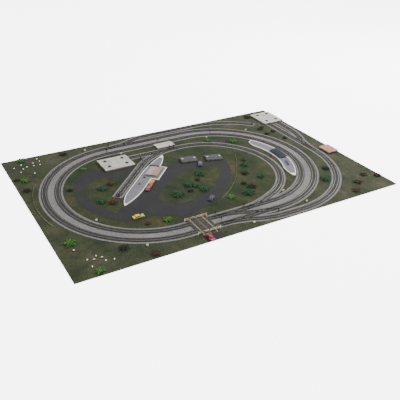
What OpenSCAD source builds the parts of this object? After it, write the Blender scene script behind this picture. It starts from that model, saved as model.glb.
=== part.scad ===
// Model railway track set, 16.5 mm gauge, laid out on a flat scenic board with low relief buildings.
// Origin: centre of the board's underside. +X along the board, +Y away from the front edge, +Z up.
// A "pose" is [x, y, heading]. A "run" is [pose, radius, length or angle, side]; radius 0 is straight.

/* [Board] */
// Length of the scenic board, left to right
board_l = 1820; // [1800:5:1860]
// Depth of the scenic board, front to back
board_w = 1200; // [1194:2:1240]
// Thickness of the scenic board
board_t = 4; // [2:0.5:8]

/* [Track] */
// Distance between the inner faces of the two rails
gauge = 16.5; // [16:0.1:16.8]
// Centre line radius of the inner oval
inner_r = 438; // [436:1:438]
// Distance between neighbouring parallel tracks
track_gap = 67; // [66:0.5:68]
// Length of the ovals' straight sides
straight_l = 503; // [500:1:506]
// Radius of the inner loop
loop_r = 371; // [368:1:371]
// Length of a sleeper
sleeper_l = 30; // [28:0.5:31]
// Height of the sleepers
sleeper_h = 1.6; // [1.2:0.1:2.5]
// Height of the rails
rail_h = 2.5; // [2.1:0.1:2.6]
// Width of the ballast under one track
ballast_w = 54; // [46:1:54]
// Thickness of the ballast underlay
ballast_h = 1; // [0.6:0.1:1.5]
// Gap left between neighbouring pieces of track
joint_gap = 0.3; // [0.1:0.1:0.6]

/* [Turnouts] */
// Distance from the toe to the tips of the switch blades
blade_tip = 16; // [14:1:18]
// Distance from the toe to the blades' pivot
blade_heel = 70; // [66:1:72]
// Sideways travel of the blade tips
blade_throw = 2.2; // [1.6:0.1:2.2]

/* [Level crossing] */
// Distance between the gate posts across the road
gate_span = 120; // [118:1:124]
// Height of a gate
gate_h = 9; // [6:0.5:12]

/* [Buildings] */
// Height of the platforms above the board
platform_h = 4; // [3:0.5:6]
// Height of the engine sheds' walls
shed_wall_h = 9; // [6:0.5:14]
// Height of the station building's walls above the platform
station_wall_h = 7; // [5:0.5:10]
// Height of the houses' walls
house_wall_h = 8; // [6:0.5:12]
// Rise of the pitched roofs
roof_rise = 3; // [2:0.5:5]
// Width of the platforms' pale edging
edge_w = 4; // [3:0.5:5]

/* [Hidden] */
$fn = 48;

step = 22.5;                       // angle of one short curve
half_turn = 8;                     // short curves in half a circle
outer_r = inner_r + track_gap;
oval_y = 3;                        // the ovals' long centre line
left_x = -317;                     // centre of the ovals' left ends
right_x = left_x + straight_l;     // centre of the ovals' right ends
third = straight_l / 3;            // length of a straight and of a turnout
turnout_r = 438;                   // radius of a turnout's branch
ballast_z = board_t;
sleeper_z = ballast_z + ballast_h;
rail_z = sleeper_z + sleeper_h;
rail_top = rail_z + rail_h;
rail_head = 1.1;
rail_y = gauge / 2 + rail_head / 2;
skin = 0.4;                        // thickness of the road surface

// ---- poses and runs -------------------------------------------------------------------------
function go(p, l) = [p[0] + l * cos(p[2]), p[1] + l * sin(p[2]), p[2]];
function bend(p, r, a, s) = let (h = p[2] + s * a)
    [p[0] + s * r * (sin(h) - sin(p[2])), p[1] + s * r * (cos(p[2]) - cos(h)), h];
function run_end(q) = q[1] == 0 ? go(q[0], q[2]) : bend(q[0], q[1], q[2], q[3]);
function straight_run(p, l) = [[p, 0, l, 0]];
function curve_runs(p, r, n, s) = [for (i = [0 : n - 1]) [bend(p, r, i * step, s), r, step, s]];
function last_pose(runs) = run_end(runs[len(runs) - 1]);

module at(p) {
    translate([p[0], p[1], 0]) rotate([0, 0, p[2]]) children();
}

// Half a joint gap, as an angle at radius r.
function gap_angle(r) = joint_gap / 2 / r * 180 / PI;

// A bar of rectangular section along a run, half wide each side, from z up.
module run_bar(q, half, z, h) {
    if (q[1] == 0)
        at(q[0]) translate([joint_gap / 2, -half, z]) cube([q[2] - joint_gap, 2 * half, h]);
    else {
        a = gap_angle(q[1]);
        at(q[0]) translate([0, q[3] * q[1], z]) rotate([0, 0, a + (q[3] > 0 ? -90 : 90 - q[2])])
            rotate_extrude(angle = q[2] - 2 * a, $fn = 180)
                translate([q[1] - half, 0]) square([2 * half, h]);
    }
}

// Section of a rail: foot, web and head.
module rail_section() {
    foot = 1;
    web = 0.3;
    head = rail_head / 2;
    side = [[foot, 0], [foot, 0.4], [web, 0.7], [web, rail_h - 1], [head, rail_h - 0.8], [head, rail_h]];
    polygon(concat(side, [for (i = [len(side) - 1 : -1 : 0]) [-side[i][0], side[i][1]]]));
}

// One rail along a run, offset to the left of the centre line by y, on the sleepers.
module run_rail(q, y) {
    if (q[1] == 0)
        at(q[0]) translate([joint_gap / 2, y, rail_z]) rotate([90, 0, 90])
            linear_extrude(q[2] - joint_gap) rail_section();
    else {
        a = gap_angle(q[1]);
        at(q[0]) translate([0, q[3] * q[1], rail_z]) rotate([0, 0, a + (q[3] > 0 ? -90 : 90 - q[2])])
            rotate_extrude(angle = q[2] - 2 * a, $fn = 180) translate([q[1] - q[3] * y, 0]) rail_section();
    }
}

// ---- the track plan -------------------------------------------------------------------------
function oval_curves(r) = concat(
    curve_runs([right_x, oval_y - r, 0], r, half_turn, 1),
    curve_runs([left_x, oval_y + r, 180], r, half_turn, 1));
top_outer = [left_x, oval_y + outer_r, 0];
top_inner = [left_x, oval_y + inner_r, 0];
low_outer = [left_x, oval_y - outer_r, 0];
low_inner = [left_x, oval_y - inner_r, 0];
crossing_runs = concat(straight_run(low_outer, third), straight_run(low_inner, third));
oval_runs = concat(oval_curves(outer_r), oval_curves(inner_r), crossing_runs,
    straight_run(go(top_outer, third), 2 * third), straight_run(top_inner, straight_l));

// Each turnout: pose of its toe, and +1 where the branch turns left, -1 where it turns right.
outer_siding_toe = [go(low_outer, third), -1];
crossover_inner_toe = [go(low_inner, third), -1];
crossover_outer_toe = [[right_x, oval_y - outer_r, 180], -1];
loop_toe = [go(low_inner, 2 * third), 1];
top_siding_toe = [top_outer, 1];
function branch_end(t) = bend(t[0], turnout_r, step, t[1]);
function main_end(t) = go(t[0], third);

// Inner loop: a short straight, seven short curves, then its top.
loop_join = straight_run(branch_end(loop_toe), 53);
loop_curves = curve_runs(last_pose(loop_join), loop_r, half_turn - 1, 1);
loop_top = straight_run(last_pose(loop_curves), 21);
shed_toe = [last_pose(loop_top), 1];
shed_siding = straight_run(main_end(shed_toe), 154);
bay_curve = curve_runs(branch_end(shed_toe), loop_r, 1, 1);
bay_siding = straight_run(last_pose(bay_curve), 361);

// Back siding: parallel to the outer oval, then round its right end to a buffer stop.
back_curve = curve_runs(branch_end(top_siding_toe), turnout_r, 1, -1);
back_straight = straight_run(last_pose(back_curve), 306);
back_end = curve_runs(last_pose(back_straight), outer_r, 2, -1);

// Yard line: off the front of the outer oval, round the right corner and up to the second shed.
yard_curve = curve_runs(branch_end(outer_siding_toe), turnout_r, 1, 1);
yard_straight = straight_run(last_pose(yard_curve), 103.5);
yard_corner = curve_runs(last_pose(yard_straight), outer_r, 4, 1);
yard_toe = [last_pose(yard_corner), -1];
shed_2_front = 376;
yard_main = straight_run(main_end(yard_toe), shed_2_front - main_end(yard_toe)[1] - 1);
yard_branch = curve_runs(branch_end(yard_toe), turnout_r, 1, 1);
yard_side = straight_run(last_pose(yard_branch), shed_2_front - last_pose(yard_branch)[1] - 1);

branch_runs = concat(loop_join, loop_curves, loop_top, shed_siding, bay_curve, bay_siding,
    back_curve, back_straight, back_end,
    yard_curve, yard_straight, yard_corner, yard_main, yard_branch, yard_side);
branch_straights = concat(loop_join, loop_top, shed_siding, bay_siding, back_straight,
    yard_straight, yard_main, yard_side);
// Each stretch of short curves as one run.
function whole(runs) = [[runs[0][0], runs[0][1], step * len(runs), runs[0][3]]];
ballast_curves = concat(whole(loop_curves), whole(bay_curve), whole(back_curve), whole(back_end),
    whole(yard_curve), whole(yard_corner), whole(yard_branch));
turnouts = [outer_siding_toe, crossover_inner_toe, crossover_outer_toe, loop_toe,
    top_siding_toe, shed_toe, yard_toe];
function turnout_runs(t) = [[t[0], 0, third, 0], [t[0], turnout_r, step, t[1]]];
all_turnout_runs = [for (t = turnouts) each turnout_runs(t)];

// ---- ground ---------------------------------------------------------------------------------
module scenic_board() {
    color("#5a5a48") translate([-board_l / 2, -board_w / 2, 0]) cube([board_l, board_w, board_t]);
}

// Part of a flat ring, between two radii and two angles.
module ring_2d(c, inner, outer, a0, a1) {
    translate([c[0], c[1]]) rotate([0, 0, a0]) difference() {
        intersection() {
            circle(outer, $fn = 180);
            polygon(concat([[0, 0]],
                [for (i = [0 : 8]) let (a = (a1 - a0) * i / 8) 2 * outer * [cos(a), sin(a)]]));
        }
        circle(inner, $fn = 180);
    }
}

// The flat strip under a run, half wide each side and lap longer at both ends.
module run_2d(q, half, lap) {
    if (q[1] == 0)
        at(q[0]) translate([-lap, -half]) square([q[2] + 2 * lap, 2 * half]);
    else {
        over = lap / q[1] * 180 / PI;
        at(q[0]) ring_2d([0, q[3] * q[1]], q[1] - half, q[1] + half,
            (q[3] > 0 ? -90 : 90 - q[2]) - over, (q[3] > 0 ? q[2] - 90 : 90) + over);
    }
}

// Outline of a track of radius r, joined by the ovals' straight sides.
module oval_2d(r) {
    translate([left_x, oval_y - r]) square([straight_l, 2 * r]);
    for (x = [left_x, right_x]) translate([x, oval_y]) circle(r, $fn = 240);
}

// Straights are a shade narrower than curves, and turnouts than straights, so no two edges coincide.
module ballast_bed() {
    half = ballast_w / 2;
    shade = 0.3;
    lap = 2;
    margin = 1;
    color("#8f8f8c") translate([0, 0, ballast_z]) linear_extrude(ballast_h) intersection() {
        square([board_l - 2 * margin, board_w - 2 * margin], center = true);
        offset(delta = 0.01) {
            difference() {
                oval_2d(outer_r + half);
                oval_2d(inner_r - half);
            }
            for (q = ballast_curves) run_2d(q, half, 0);
            for (q = branch_straights) run_2d(q, half - shade, lap);
            for (q = all_turnout_runs) run_2d(q, half - 2 * shade, lap);
            // past each buffer stop
            for (p = [last_pose(bay_siding), last_pose(back_end)]) at(p)
                translate([-lap, shade - half]) square([22, 2 * (half - shade)]);
        }
    }
}

road_w = 95;
road_x = -233;                     // centre line of the level crossing
deck_lo = low_outer[1] - ballast_w / 2;
deck_hi = low_inner[1] + ballast_w / 2;
ramp_l = 20;

// The diagonal of the bay platform: u runs along it, v across it.
bay_angle = 45;
module in_bay() { rotate([0, 0, bay_angle]) children(); }

module left_island_2d() {
    intersection() {
        translate([left_x, oval_y]) circle(298, $fn = 180);
        offset(10) offset(-10) polygon([[-640, 90], [-560, 150], [-510, 178], [-462, 168], [-392, 130],
            [-450, 20], [-482, -19], [-497, -134], [-548, -194], [-650, -150]]);
    }
}

module centre_island_2d() {
    intersection() {
        translate([-222, 158]) circle(409, $fn = 180);
        offset(16) offset(-16) polygon([[-310, -152], [-272, -112], [-206, -46], [-140, -2], [-60, 38],
            [-6, 51], [70, 46], [190, 27], [150, -290], [-250, -290]]);
    }
}

module road_surface() {
    color("#454348") translate([0, 0, board_t]) linear_extrude(skin) difference() {
        union() {
            ring_2d([left_x, oval_y], 297, 357, 118, 238);
            // shed yard
            polygon([[-500, 256], [-428, 262], [-428, 226], [-256, 226], [-262, 212], [-330, 144],
                [-392, 124], [-450, 110], [-560, 110], [-602, 150], [-560, 210]]);
            // forecourt, station road and the sweep round the centre island
            intersection() {
                translate([-298, 205]) circle(562, $fn = 240);
                offset(-26) offset(52) offset(-26)
                    polygon([[-530, -150], [-486, -152], [-468, -123], [-382, -74], [-316, -18], [-238, 52],
                        [-103, 128], [-85, 172], [-4, 141], [90, 122], [150, 98], [231, 72], [262, 20],
                        [262, -420], [-182, -420], [-194, -384], [-272, -384], [-290, -348], [-348, -312],
                        [-400, -292], [-440, -286], [-520, -286], [-560, -220]]);
            }
            // the road over the crossing, outside its ramps
            translate([road_x - road_w / 2, deck_hi + ramp_l]) square([road_w, 30]);
            translate([road_x - road_w / 2, -board_w / 2]) square([road_w, deck_lo - ramp_l + board_w / 2]);
        }
        left_island_2d();
        centre_island_2d();
        in_bay() platform_1_2d(-1);
        for (h = houses) at(h) square([house_l + 1, house_w + 1], center = true);
    }
}

// ---- sleepers and rails ---------------------------------------------------------------------
module sleeper_strips(runs) {
    for (q = runs) run_bar(q, sleeper_l / 2, sleeper_z, sleeper_h);
}

module oval_sleepers() { color("#4a4744") sleeper_strips(oval_runs); }
module branch_sleepers() { color("#4a4744") sleeper_strips(branch_runs); }

slot_from = blade_tip - 3;
slot_l = 8;
slot_z = sleeper_z + 0.3;
module turnout_sleepers() {
    color("#4a4744") for (t = turnouts) difference() {
        union() sleeper_strips(turnout_runs(t));
        at(t[0]) translate([slot_from, -sleeper_l, slot_z]) cube([slot_l, 2 * sleeper_l, sleeper_h]);
    }
}

module rail_pairs(runs) {
    for (q = runs, s = [-1, 1]) run_rail(q, s * rail_y);
}

module oval_rails() { color("#b9b4a6") rail_pairs(oval_runs); }
module branch_rails() { color("#b9b4a6") rail_pairs(branch_runs); }

// Turnout in its own frame: toe at the origin, branch curving left.
frog_x = 2 * sqrt(turnout_r * rail_y);
closure_end = frog_x - 9;
point_start = frog_x + 5;
heel_gap = 0.7;                    // between a blade's heel and its closure rail
function sweep(r, x) = asin(x / r);
module branch_rail(y, from, to) {
    r = turnout_r - y;
    a = max(sweep(r, from), gap_angle(r));
    b = to > third ? step - gap_angle(r) : sweep(r, to);
    translate([0, turnout_r, rail_z]) rotate([0, 0, a - 90])
        rotate_extrude(angle = b - a, $fn = 180) translate([r, 0]) rail_section();
}
module main_rail(y, from, to) {
    a = max(from, joint_gap / 2);
    b = min(to, third - joint_gap / 2);
    translate([a, y, rail_z]) rotate([90, 0, 90]) linear_extrude(b - a) rail_section();
}
check_gap = 3;
module turnout_rail_set() {
    main_rail(-rail_y, 0, third);
    branch_rail(rail_y, 0, third + 1);
    main_rail(rail_y, blade_heel + heel_gap, closure_end);
    branch_rail(-rail_y, blade_heel + heel_gap, closure_end);
    union() {
        main_rail(rail_y, point_start, third);
        branch_rail(-rail_y, point_start, third + 1);
    }
    main_rail(-rail_y + check_gap, frog_x - 16, frog_x + 16);
    branch_rail(rail_y - check_gap, frog_x - 20, frog_x + 12);
}
module turnout_rails() {
    color("#b9b4a6") for (t = turnouts) at(t[0]) if (t[1] > 0) turnout_rail_set();
        else mirror([0, 1, 0]) turnout_rail_set();
}

// Switch blades: two tapered bars and the tie bar that carries them, set for the main line.
blade_z = rail_z + 0.6;
blade_h = rail_h - 0.7;
swing = asin(blade_throw / (blade_heel - blade_tip));
function branch_face(x) = x * x / (2 * (turnout_r + gauge / 2)) - gauge / 2;
module switch_blade_set() {
    top_face = gauge / 2;
    xs = [for (i = [0 : 6]) blade_tip + (blade_heel - blade_tip) * i / 6];
    tip_in = 0.4;
    tip_w = 0.45;
    stub = 0.7;
    union() {
        // straight blade, lying close to the curved stock rail
        translate([0, 0, blade_z]) linear_extrude(blade_h)
            polygon([[blade_tip, top_face - tip_in], [blade_heel, top_face],
                [blade_heel, top_face + rail_head], [blade_tip, top_face - tip_in + tip_w]]);
        // curved blade, standing open from the straight stock rail
        translate([blade_heel, 0, blade_z]) rotate([0, 0, -swing]) translate([-blade_heel, 0, 0])
            linear_extrude(blade_h) polygon(concat(
                [for (i = [0 : 6]) [xs[i], branch_face(xs[i]) + tip_in * (1 - i / 6)]],
                [for (i = [6 : -1 : 0]) [xs[i], branch_face(xs[i]) + 0.05 - 0.8 * i / 6]]));
        // tie bar under the rails, its finger tab and the stubs that hold the blades
        translate([blade_tip, -sleeper_l / 2 - 1, slot_z + 0.2])
            cube([2.4, sleeper_l + 8, rail_z - slot_z - 0.4]);
        translate([blade_tip, sleeper_l / 2 + 3.4, slot_z + 0.2]) cube([2.4, 3.6, rail_h]);
        for (y = [top_face - stub - 0.25, blade_throw - top_face + 0.5])
            translate([blade_tip + 0.6, y, slot_z + 0.4]) cube([1.2, stub, blade_z - slot_z + 0.4]);
    }
}
module switch_blades(i) {
    t = turnouts[i - 1];
    color("#8c8a84") at(t[0]) if (t[1] > 0) switch_blade_set(); else mirror([0, 1, 0]) switch_blade_set();
}

// ---- level crossing -------------------------------------------------------------------------
deck_l = 106;
flangeway = 2.6;
module deck_panel(lo, hi) {
    translate([road_x - deck_l / 2, lo, rail_z]) cube([deck_l, hi - lo, rail_h - 0.2]);
}
module deck_support(lo, hi) {
    translate([road_x - deck_l / 2, lo, sleeper_z]) cube([deck_l, hi - lo, sleeper_h + 0.5]);
}
module deck_ramp() {
    rise = rail_z + rail_h - 0.2 - board_t;
    rotate([90, 0, 90]) linear_extrude(deck_l) polygon([[0, 0], [ramp_l, 0], [0, rise]]);
}
module crossing_deck() {
    outside = rail_y + rail_head / 2 + 0.9;
    inside = gauge / 2 - flangeway;
    clear = sleeper_l / 2 + 0.5;
    color("#7a6a4a") {
        for (y = [low_outer[1], low_inner[1]]) deck_panel(y - inside, y + inside);
        union() {
            deck_panel(low_outer[1] + outside, low_inner[1] - outside);
            deck_support(low_outer[1] + clear, low_inner[1] - clear);
        }
        union() {
            deck_panel(low_inner[1] + outside, deck_hi);
            deck_support(low_inner[1] + clear, deck_hi);
        }
        union() {
            deck_panel(deck_lo, low_outer[1] - outside);
            deck_support(deck_lo, low_outer[1] - clear);
        }
        translate([road_x - deck_l / 2, deck_hi, board_t]) deck_ramp();
        translate([road_x + deck_l / 2, deck_lo, board_t]) rotate([0, 0, 180]) deck_ramp();
    }
}

post_r = 2.5;
pin_r = 1.2;
pin_clear = 0.07;
gate_z = rail_top + 1.2;
gate_l = 57;
hi_post = deck_hi + 3;
lo_post = deck_lo - 3;
// Each gate: post position, and heading of the closed gate.
gates = [[road_x - gate_span / 2, hi_post, 0], [road_x + gate_span / 2, hi_post, 180],
    [road_x - gate_span / 2, lo_post, 0], [road_x + gate_span / 2, lo_post, 180]];
module gate_posts() {
    color("#e8e6dc") for (g = gates) translate([g[0], g[1], board_t]) {
        cylinder(r = post_r, h = gate_z - board_t - 0.3);
        cylinder(r = pin_r, h = gate_z - board_t + gate_h + 2);
    }
}
gate_bar = 1.6;
pickets = 8;
module gate(i) {
    color("#f0efe8") at(gates[i - 1]) translate([0, 0, gate_z]) difference() {
        union() {
            cylinder(r = post_r, h = gate_h);
            for (z = [0, gate_h - gate_bar]) translate([0, -gate_bar / 2, z])
                cube([gate_l, gate_bar, gate_bar]);
            for (k = [1 : pickets]) translate([k * gate_l / pickets - gate_bar, -gate_bar / 2, 0])
                cube([gate_bar, gate_bar, gate_h]);
        }
        translate([0, 0, -1]) cylinder(r = pin_r + pin_clear, h = gate_h + 2);
    }
}

// ---- lineside -------------------------------------------------------------------------------
signal_h = 16;
signals = [[-325, 466], [12, 466], [368.7, 437.7]];
arm_pivot_z = board_t + ballast_h + signal_h - 3;
arm_pin_r = 0.5;
module signal_posts() {
    color("#2c2c2c") for (s = signals) translate([s[0], s[1], sleeper_z]) {
        cylinder(r = 3, h = 1);
        difference() {
            cylinder(r = 1.2, h = signal_h);
            translate([0, 3, arm_pivot_z - sleeper_z]) rotate([90, 0, 0])
                cylinder(r = arm_pin_r + 0.05, h = 6);
        }
    }
}
module signal_arm(i) {
    color("#b03a2e") translate([signals[i - 1][0], signals[i - 1][1], arm_pivot_z]) {
        translate([-9, -2.4, -1]) cube([11, 0.8, 2.2]);
        rotate([90, 0, 0]) translate([0, 0, -1.6]) cylinder(r = arm_pin_r, h = 3.4);
    }
}

// [x, y, height of the ground it stands on] of each ground signal.
small_signals = [[-290, 531, sleeper_z], [31, 352, sleeper_z], [58, 352, sleeper_z], [373, 256, board_t],
    [500, -29, board_t], [380, -319, board_t], [162, -535, board_t], [-125, -411, sleeper_z],
    [-127, -468.5, sleeper_z], [44, -411, sleeper_z]];
module ground_signals() {
    color("#2a2a2a") for (s = small_signals) translate(s) {
        cylinder(r = 1.6, h = 8);
        translate([-2.5, -2, 8]) cube([5, 4, 7]);
    }
}

crane = [-189, 292.5, -100];       // position, and heading of the arm at rest
crane_h = 12;
module water_crane_column() {
    color("#2b2b2b") translate([crane[0], crane[1], board_t]) {
        difference() {
            cylinder(r = 12, h = 2.5);
            translate([0, 0, 1]) cylinder(r = 9, h = 3);
        }
        cylinder(r = 2.2, h = crane_h);
        cylinder(r = pin_r, h = crane_h + 4.5);
    }
}
module water_crane_arm() {
    reach = 44;
    pipe_r = 1.5;
    color("#262626") at(crane) translate([0, 0, board_t + crane_h + 0.2]) difference() {
        union() {
            cylinder(r = 3, h = 4);
            translate([0, 0, 2]) rotate([0, 90, 0]) cylinder(r = pipe_r, h = reach);
            translate([reach, 0, -1.5]) cylinder(r = pipe_r + 0.5, h = 5.3);
        }
        translate([0, 0, -1]) cylinder(r = pin_r + pin_clear, h = 6);
    }
}

module buffer_stop() {
    color("#5a2f28") translate([2, 0, sleeper_z]) {
        for (y = [-rail_y - 1.5, rail_y - 1.5]) translate([0, y, 0]) rotate([90, 0, 90]) linear_extrude(5)
            square([3, 9]);
        translate([-2, -14, 6]) cube([2, 28, 4]);
        translate([5, -12, 0]) cube([7, 24, 5]);
    }
}
module buffer_stops() {
    for (p = [last_pose(bay_siding), last_pose(back_end)]) at(p) buffer_stop();
}

// [x, y, heading] of each white cabinet beside the line.
cabinets = [[-433, 538, 12], [-262, 402, 0], [306, 378, -20], [594, 364, -45], [-657, -205, 30],
    [-535, -500, -25], [-4, -564, -12], [311, -382, 17], [350, -524, 20]];
module lineside_cabinets() {
    color("#e6e6e0") for (c = cabinets) at(c) translate([-4.5, -3.5, board_t]) union() {
        cube([9, 7, 7]);
        translate([-0.5, -0.5, 7]) cube([10, 8, 1]);
    }
}

fence_t = 1.2;
fence_h = 5;
module fence_arc(c, r, a0, a1) {
    n = ceil((a1 - a0) / 15);
    a = (a1 - a0) / n;
    gap = 0.1;
    translate([c[0], c[1], board_t]) for (i = [0 : n - 1]) rotate([0, 0, a0 + i * a])
        rotate_extrude(angle = a - gap, $fn = 240) translate([r, 0]) square([fence_t, fence_h]);
}
module fences() {
    color("#a9a692") {
        fence_arc([left_x, oval_y], 560, 151, 197);
        fence_arc([-397, 348], 754, -60, -29);
        at([272, -10, 60]) translate([0, 0, board_t]) cube([190, fence_t, fence_h]);
        at([-59, 394, -78]) translate([0, 0, board_t]) cube([31, fence_t, fence_h]);
    }
}

// ---- platforms ------------------------------------------------------------------------------
bay_v = 204.5;                     // near edge of the bay platform, across the diagonal
bay_top = 274;
u_lo = -446;
u_hi = 152;
function bay_upper(u) = bay_top - (u > -100 ? pow(u + 100, 2) / 1760 : 0)
    - (u < -320 ? pow(u + 320, 2) / 500 : 0);
function bay_lower(u) = bay_v + (u > 20 ? pow(u - 20, 2) / 660 : 0)
    + (u < -250 ? pow(u + 250, 2) / 1100 : 0);
module platform_1_2d(inset) {
    a = u_lo + 5.5 * max(inset, 0);
    b = u_hi - 8 * max(inset, 0);
    n = 24;
    us = [for (i = [0 : n]) a + (b - a) * i / n];
    polygon(concat([for (u = us) [u, bay_lower(u) + inset]],
        [for (i = [n : -1 : 0]) [us[i], max(bay_upper(us[i]) - inset, bay_lower(us[i]) + inset + 0.5)]]));
    translate([-138 + inset, 164 + inset]) square([152 - 2 * inset, bay_v + 10 - 164]);
}

island_out = 406;
island_in = 341;
function island_inner(a) = island_in + (a < -28 ? 0.2 * pow(a + 28, 2) : 0)
    + (a > 22 ? 0.33 * pow(a - 22, 2) : 0);
module platform_2_2d(inset) {
    a0 = -43.5 + inset * 0.75;
    a1 = 32 - inset * 0.15;
    n = 26;
    as = [for (i = [0 : n]) a0 + (a1 - a0) * i / n];
    polygon(concat([for (a = as) (island_inner(a) + inset) * [cos(a), sin(a)]],
        [for (i = [n : -1 : 0]) (island_out - inset) * [cos(as[i]), sin(as[i])]]));
}
module at_island() { translate([right_x, oval_y, 0]) children(); }

module platform_slabs() {
    color("#8e8a8c") translate([0, 0, board_t]) {
        in_bay() linear_extrude(platform_h) platform_1_2d(edge_w);
        at_island() linear_extrude(platform_h) platform_2_2d(edge_w);
    }
}
module platform_edging() {
    color("#e8e6dc") translate([0, 0, board_t]) {
        in_bay() linear_extrude(platform_h + 0.3) difference() { platform_1_2d(0); platform_1_2d(edge_w); }
        at_island() linear_extrude(platform_h + 0.3) difference() { platform_2_2d(0); platform_2_2d(edge_w); }
    }
}

platform_z = board_t + platform_h;
module canopy_sector(r0, r1, a0, a1, h) {
    rotate([0, 0, a0]) rotate_extrude(angle = a1 - a0, $fn = 180) translate([r0, 0]) square([r1 - r0, h]);
}
module platform_canopy() {
    canopy_h = 7;
    color("#24414a") at_island() translate([0, 0, platform_z]) union() {
        translate([0, 0, canopy_h]) canopy_sector(349, 401, -12, 5.5, 1.6);
        translate([0, 0, canopy_h - 0.8]) canopy_sector(374, 376, -11.5, 5, 0.8);
        for (a = [-10, -3, 4]) rotate([0, 0, a]) translate([375, 0, 0]) cylinder(r = 1.5, h = canopy_h);
    }
}
module shelter(l, w, h) {
    post = 1.6;
    translate([-l / 2, -w / 2, h - 2]) cube([l, w, 2]);
    for (x = [-1, 1]) translate([x * (l / 2 - 2) - post / 2, -post / 2, 0]) cube([post, post, h - 1.5]);
}
module platform_shelters() {
    color("#1d2426") translate([0, 0, platform_z]) {
        in_bay() {
            translate([2, 233, 0]) rotate([0, 0, 90]) shelter(56, 11, 7);
            translate([-217, 244, 0]) shelter(14, 6, 4);
            translate([-140, 243, 0]) rotate([0, 0, 90]) shelter(12, 6, 4);
        }
        at_island() rotate([0, 0, -21.9]) translate([374, 0, 0]) rotate([0, 0, 90]) shelter(56, 11, 6);
    }
}

// ---- buildings ------------------------------------------------------------------------------
// Pitched roof over a rectangle: ridge along x, eaves thickness, rise.
module pitched_roof(l, w, rise) {
    eaves = 1;
    translate([-l / 2, 0, 0]) rotate([90, 0, 90]) linear_extrude(l)
        polygon([[-w / 2, 0], [w / 2, 0], [w / 2, eaves], [0, eaves + rise], [-w / 2, eaves]]);
}
// A low relief block with shallow window recesses along both long sides.
module wall_block(l, w, h, windows) {
    pane_w = l / windows * 0.45;
    pane_h = h * 0.45;
    difference() {
        translate([-l / 2, -w / 2, 0]) cube([l, w, h]);
        for (i = [0 : windows - 1], s = [-1, 1])
            translate([(i + 0.5) * l / windows - l / 2 - pane_w / 2, s * w / 2 - 0.6, h * 0.3])
                cube([pane_w, 1.2, pane_h]);
    }
}

station = [-65, 215];
module station_walls() {
    color("#c9b6a6") in_bay() translate([station[0], station[1], platform_z])
        wall_block(92, 62, station_wall_h, 5);
}
module station_roof() {
    color("#cbb9ae") in_bay() translate([station[0], station[1], platform_z + station_wall_h])
        pitched_roof(98, 68, roof_rise);
}

shed_1 = [-340, 298.5];
shed_1_size = [176, 139];
shed_2 = [832, 461.5];
shed_2_size = [150, 171];
eaves_over = 3;
module shed_walls() {
    color("#b9b4aa") {
        translate([shed_1[0], shed_1[1], board_t])
            wall_block(shed_1_size[0] - 2 * eaves_over, shed_1_size[1] - 2 * eaves_over, shed_wall_h, 7);
        translate([shed_2[0], shed_2[1], board_t]) rotate([0, 0, 90])
            wall_block(shed_2_size[1] - 2 * eaves_over, shed_2_size[0] - 2 * eaves_over, shed_wall_h, 7);
    }
}
module two_bay_roof(l, w) {
    for (s = [-1, 1]) translate([0, s * w / 4, 0]) pitched_roof(l, w / 2 - 0.4, roof_rise);
}
module at_shed_roofs() {
    translate([shed_1[0], shed_1[1], board_t + shed_wall_h]) children(0);
    translate([shed_2[0], shed_2[1], board_t + shed_wall_h]) rotate([0, 0, 90]) children(1);
}
module shed_roofs() {
    color("#d8d4cc") at_shed_roofs() {
        two_bay_roof(shed_1_size[0], shed_1_size[1]);
        two_bay_roof(shed_2_size[1], shed_2_size[0]);
    }
}
module vents(l, w) {
    for (x = [-l * 0.3, l * 0.3], s = [-1, 1]) difference() {
        translate([x, s * w / 4, 2]) cylinder(r = 10, h = 4.2);
        translate([0, s * w / 4, 0]) pitched_roof(l, w / 2 - 0.4, roof_rise);
    }
}
module roof_vents() {
    color("#6e6b68") at_shed_roofs() {
        vents(shed_1_size[0], shed_1_size[1]);
        vents(shed_2_size[1], shed_2_size[0]);
    }
}

signal_box = [13, 386];
module signal_box_walls() {
    color("#b0aca0") translate([signal_box[0], signal_box[1], board_t]) wall_block(106, 48, 9, 6);
}
module signal_box_roof() {
    color("#d2cec2") translate([signal_box[0], signal_box[1] + 1, board_t + 9])
        pitched_roof(114, 62, roof_rise);
}

house_l = 89;
house_w = 57;
houses = [[48, 154, -12], [190, 112, -16]];
module at_houses(z) { for (h = houses) at(h) translate([0, 0, z]) children(); }
module house_walls() { color("#8a8580") at_houses(board_t) wall_block(house_l, house_w, house_wall_h, 4); }
module house_roofs() {
    color("#6a6a6c") at_houses(board_t + house_wall_h) pitched_roof(house_l + 6, house_w + 6, roof_rise);
}
module chimneys() {
    color("#b8b2a6") at_houses(board_t + house_wall_h) for (x = [-36, 36]) difference() {
        translate([x - 5, -4, 1.5]) cube([10, 8, roof_rise + 3]);
        pitched_roof(house_l + 6, house_w + 6, roof_rise);
    }
}

depot = [872, -105];
module depot_walls() {
    color("#c08a70") translate([depot[0], depot[1], board_t]) rotate([0, 0, 90]) wall_block(88, 68, 9, 5);
}
module depot_roof() {
    color("#d9a283") translate([depot[0], depot[1], board_t + 9]) rotate([0, 0, 90]) pitched_roof(94, 74, 2);
}

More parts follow.
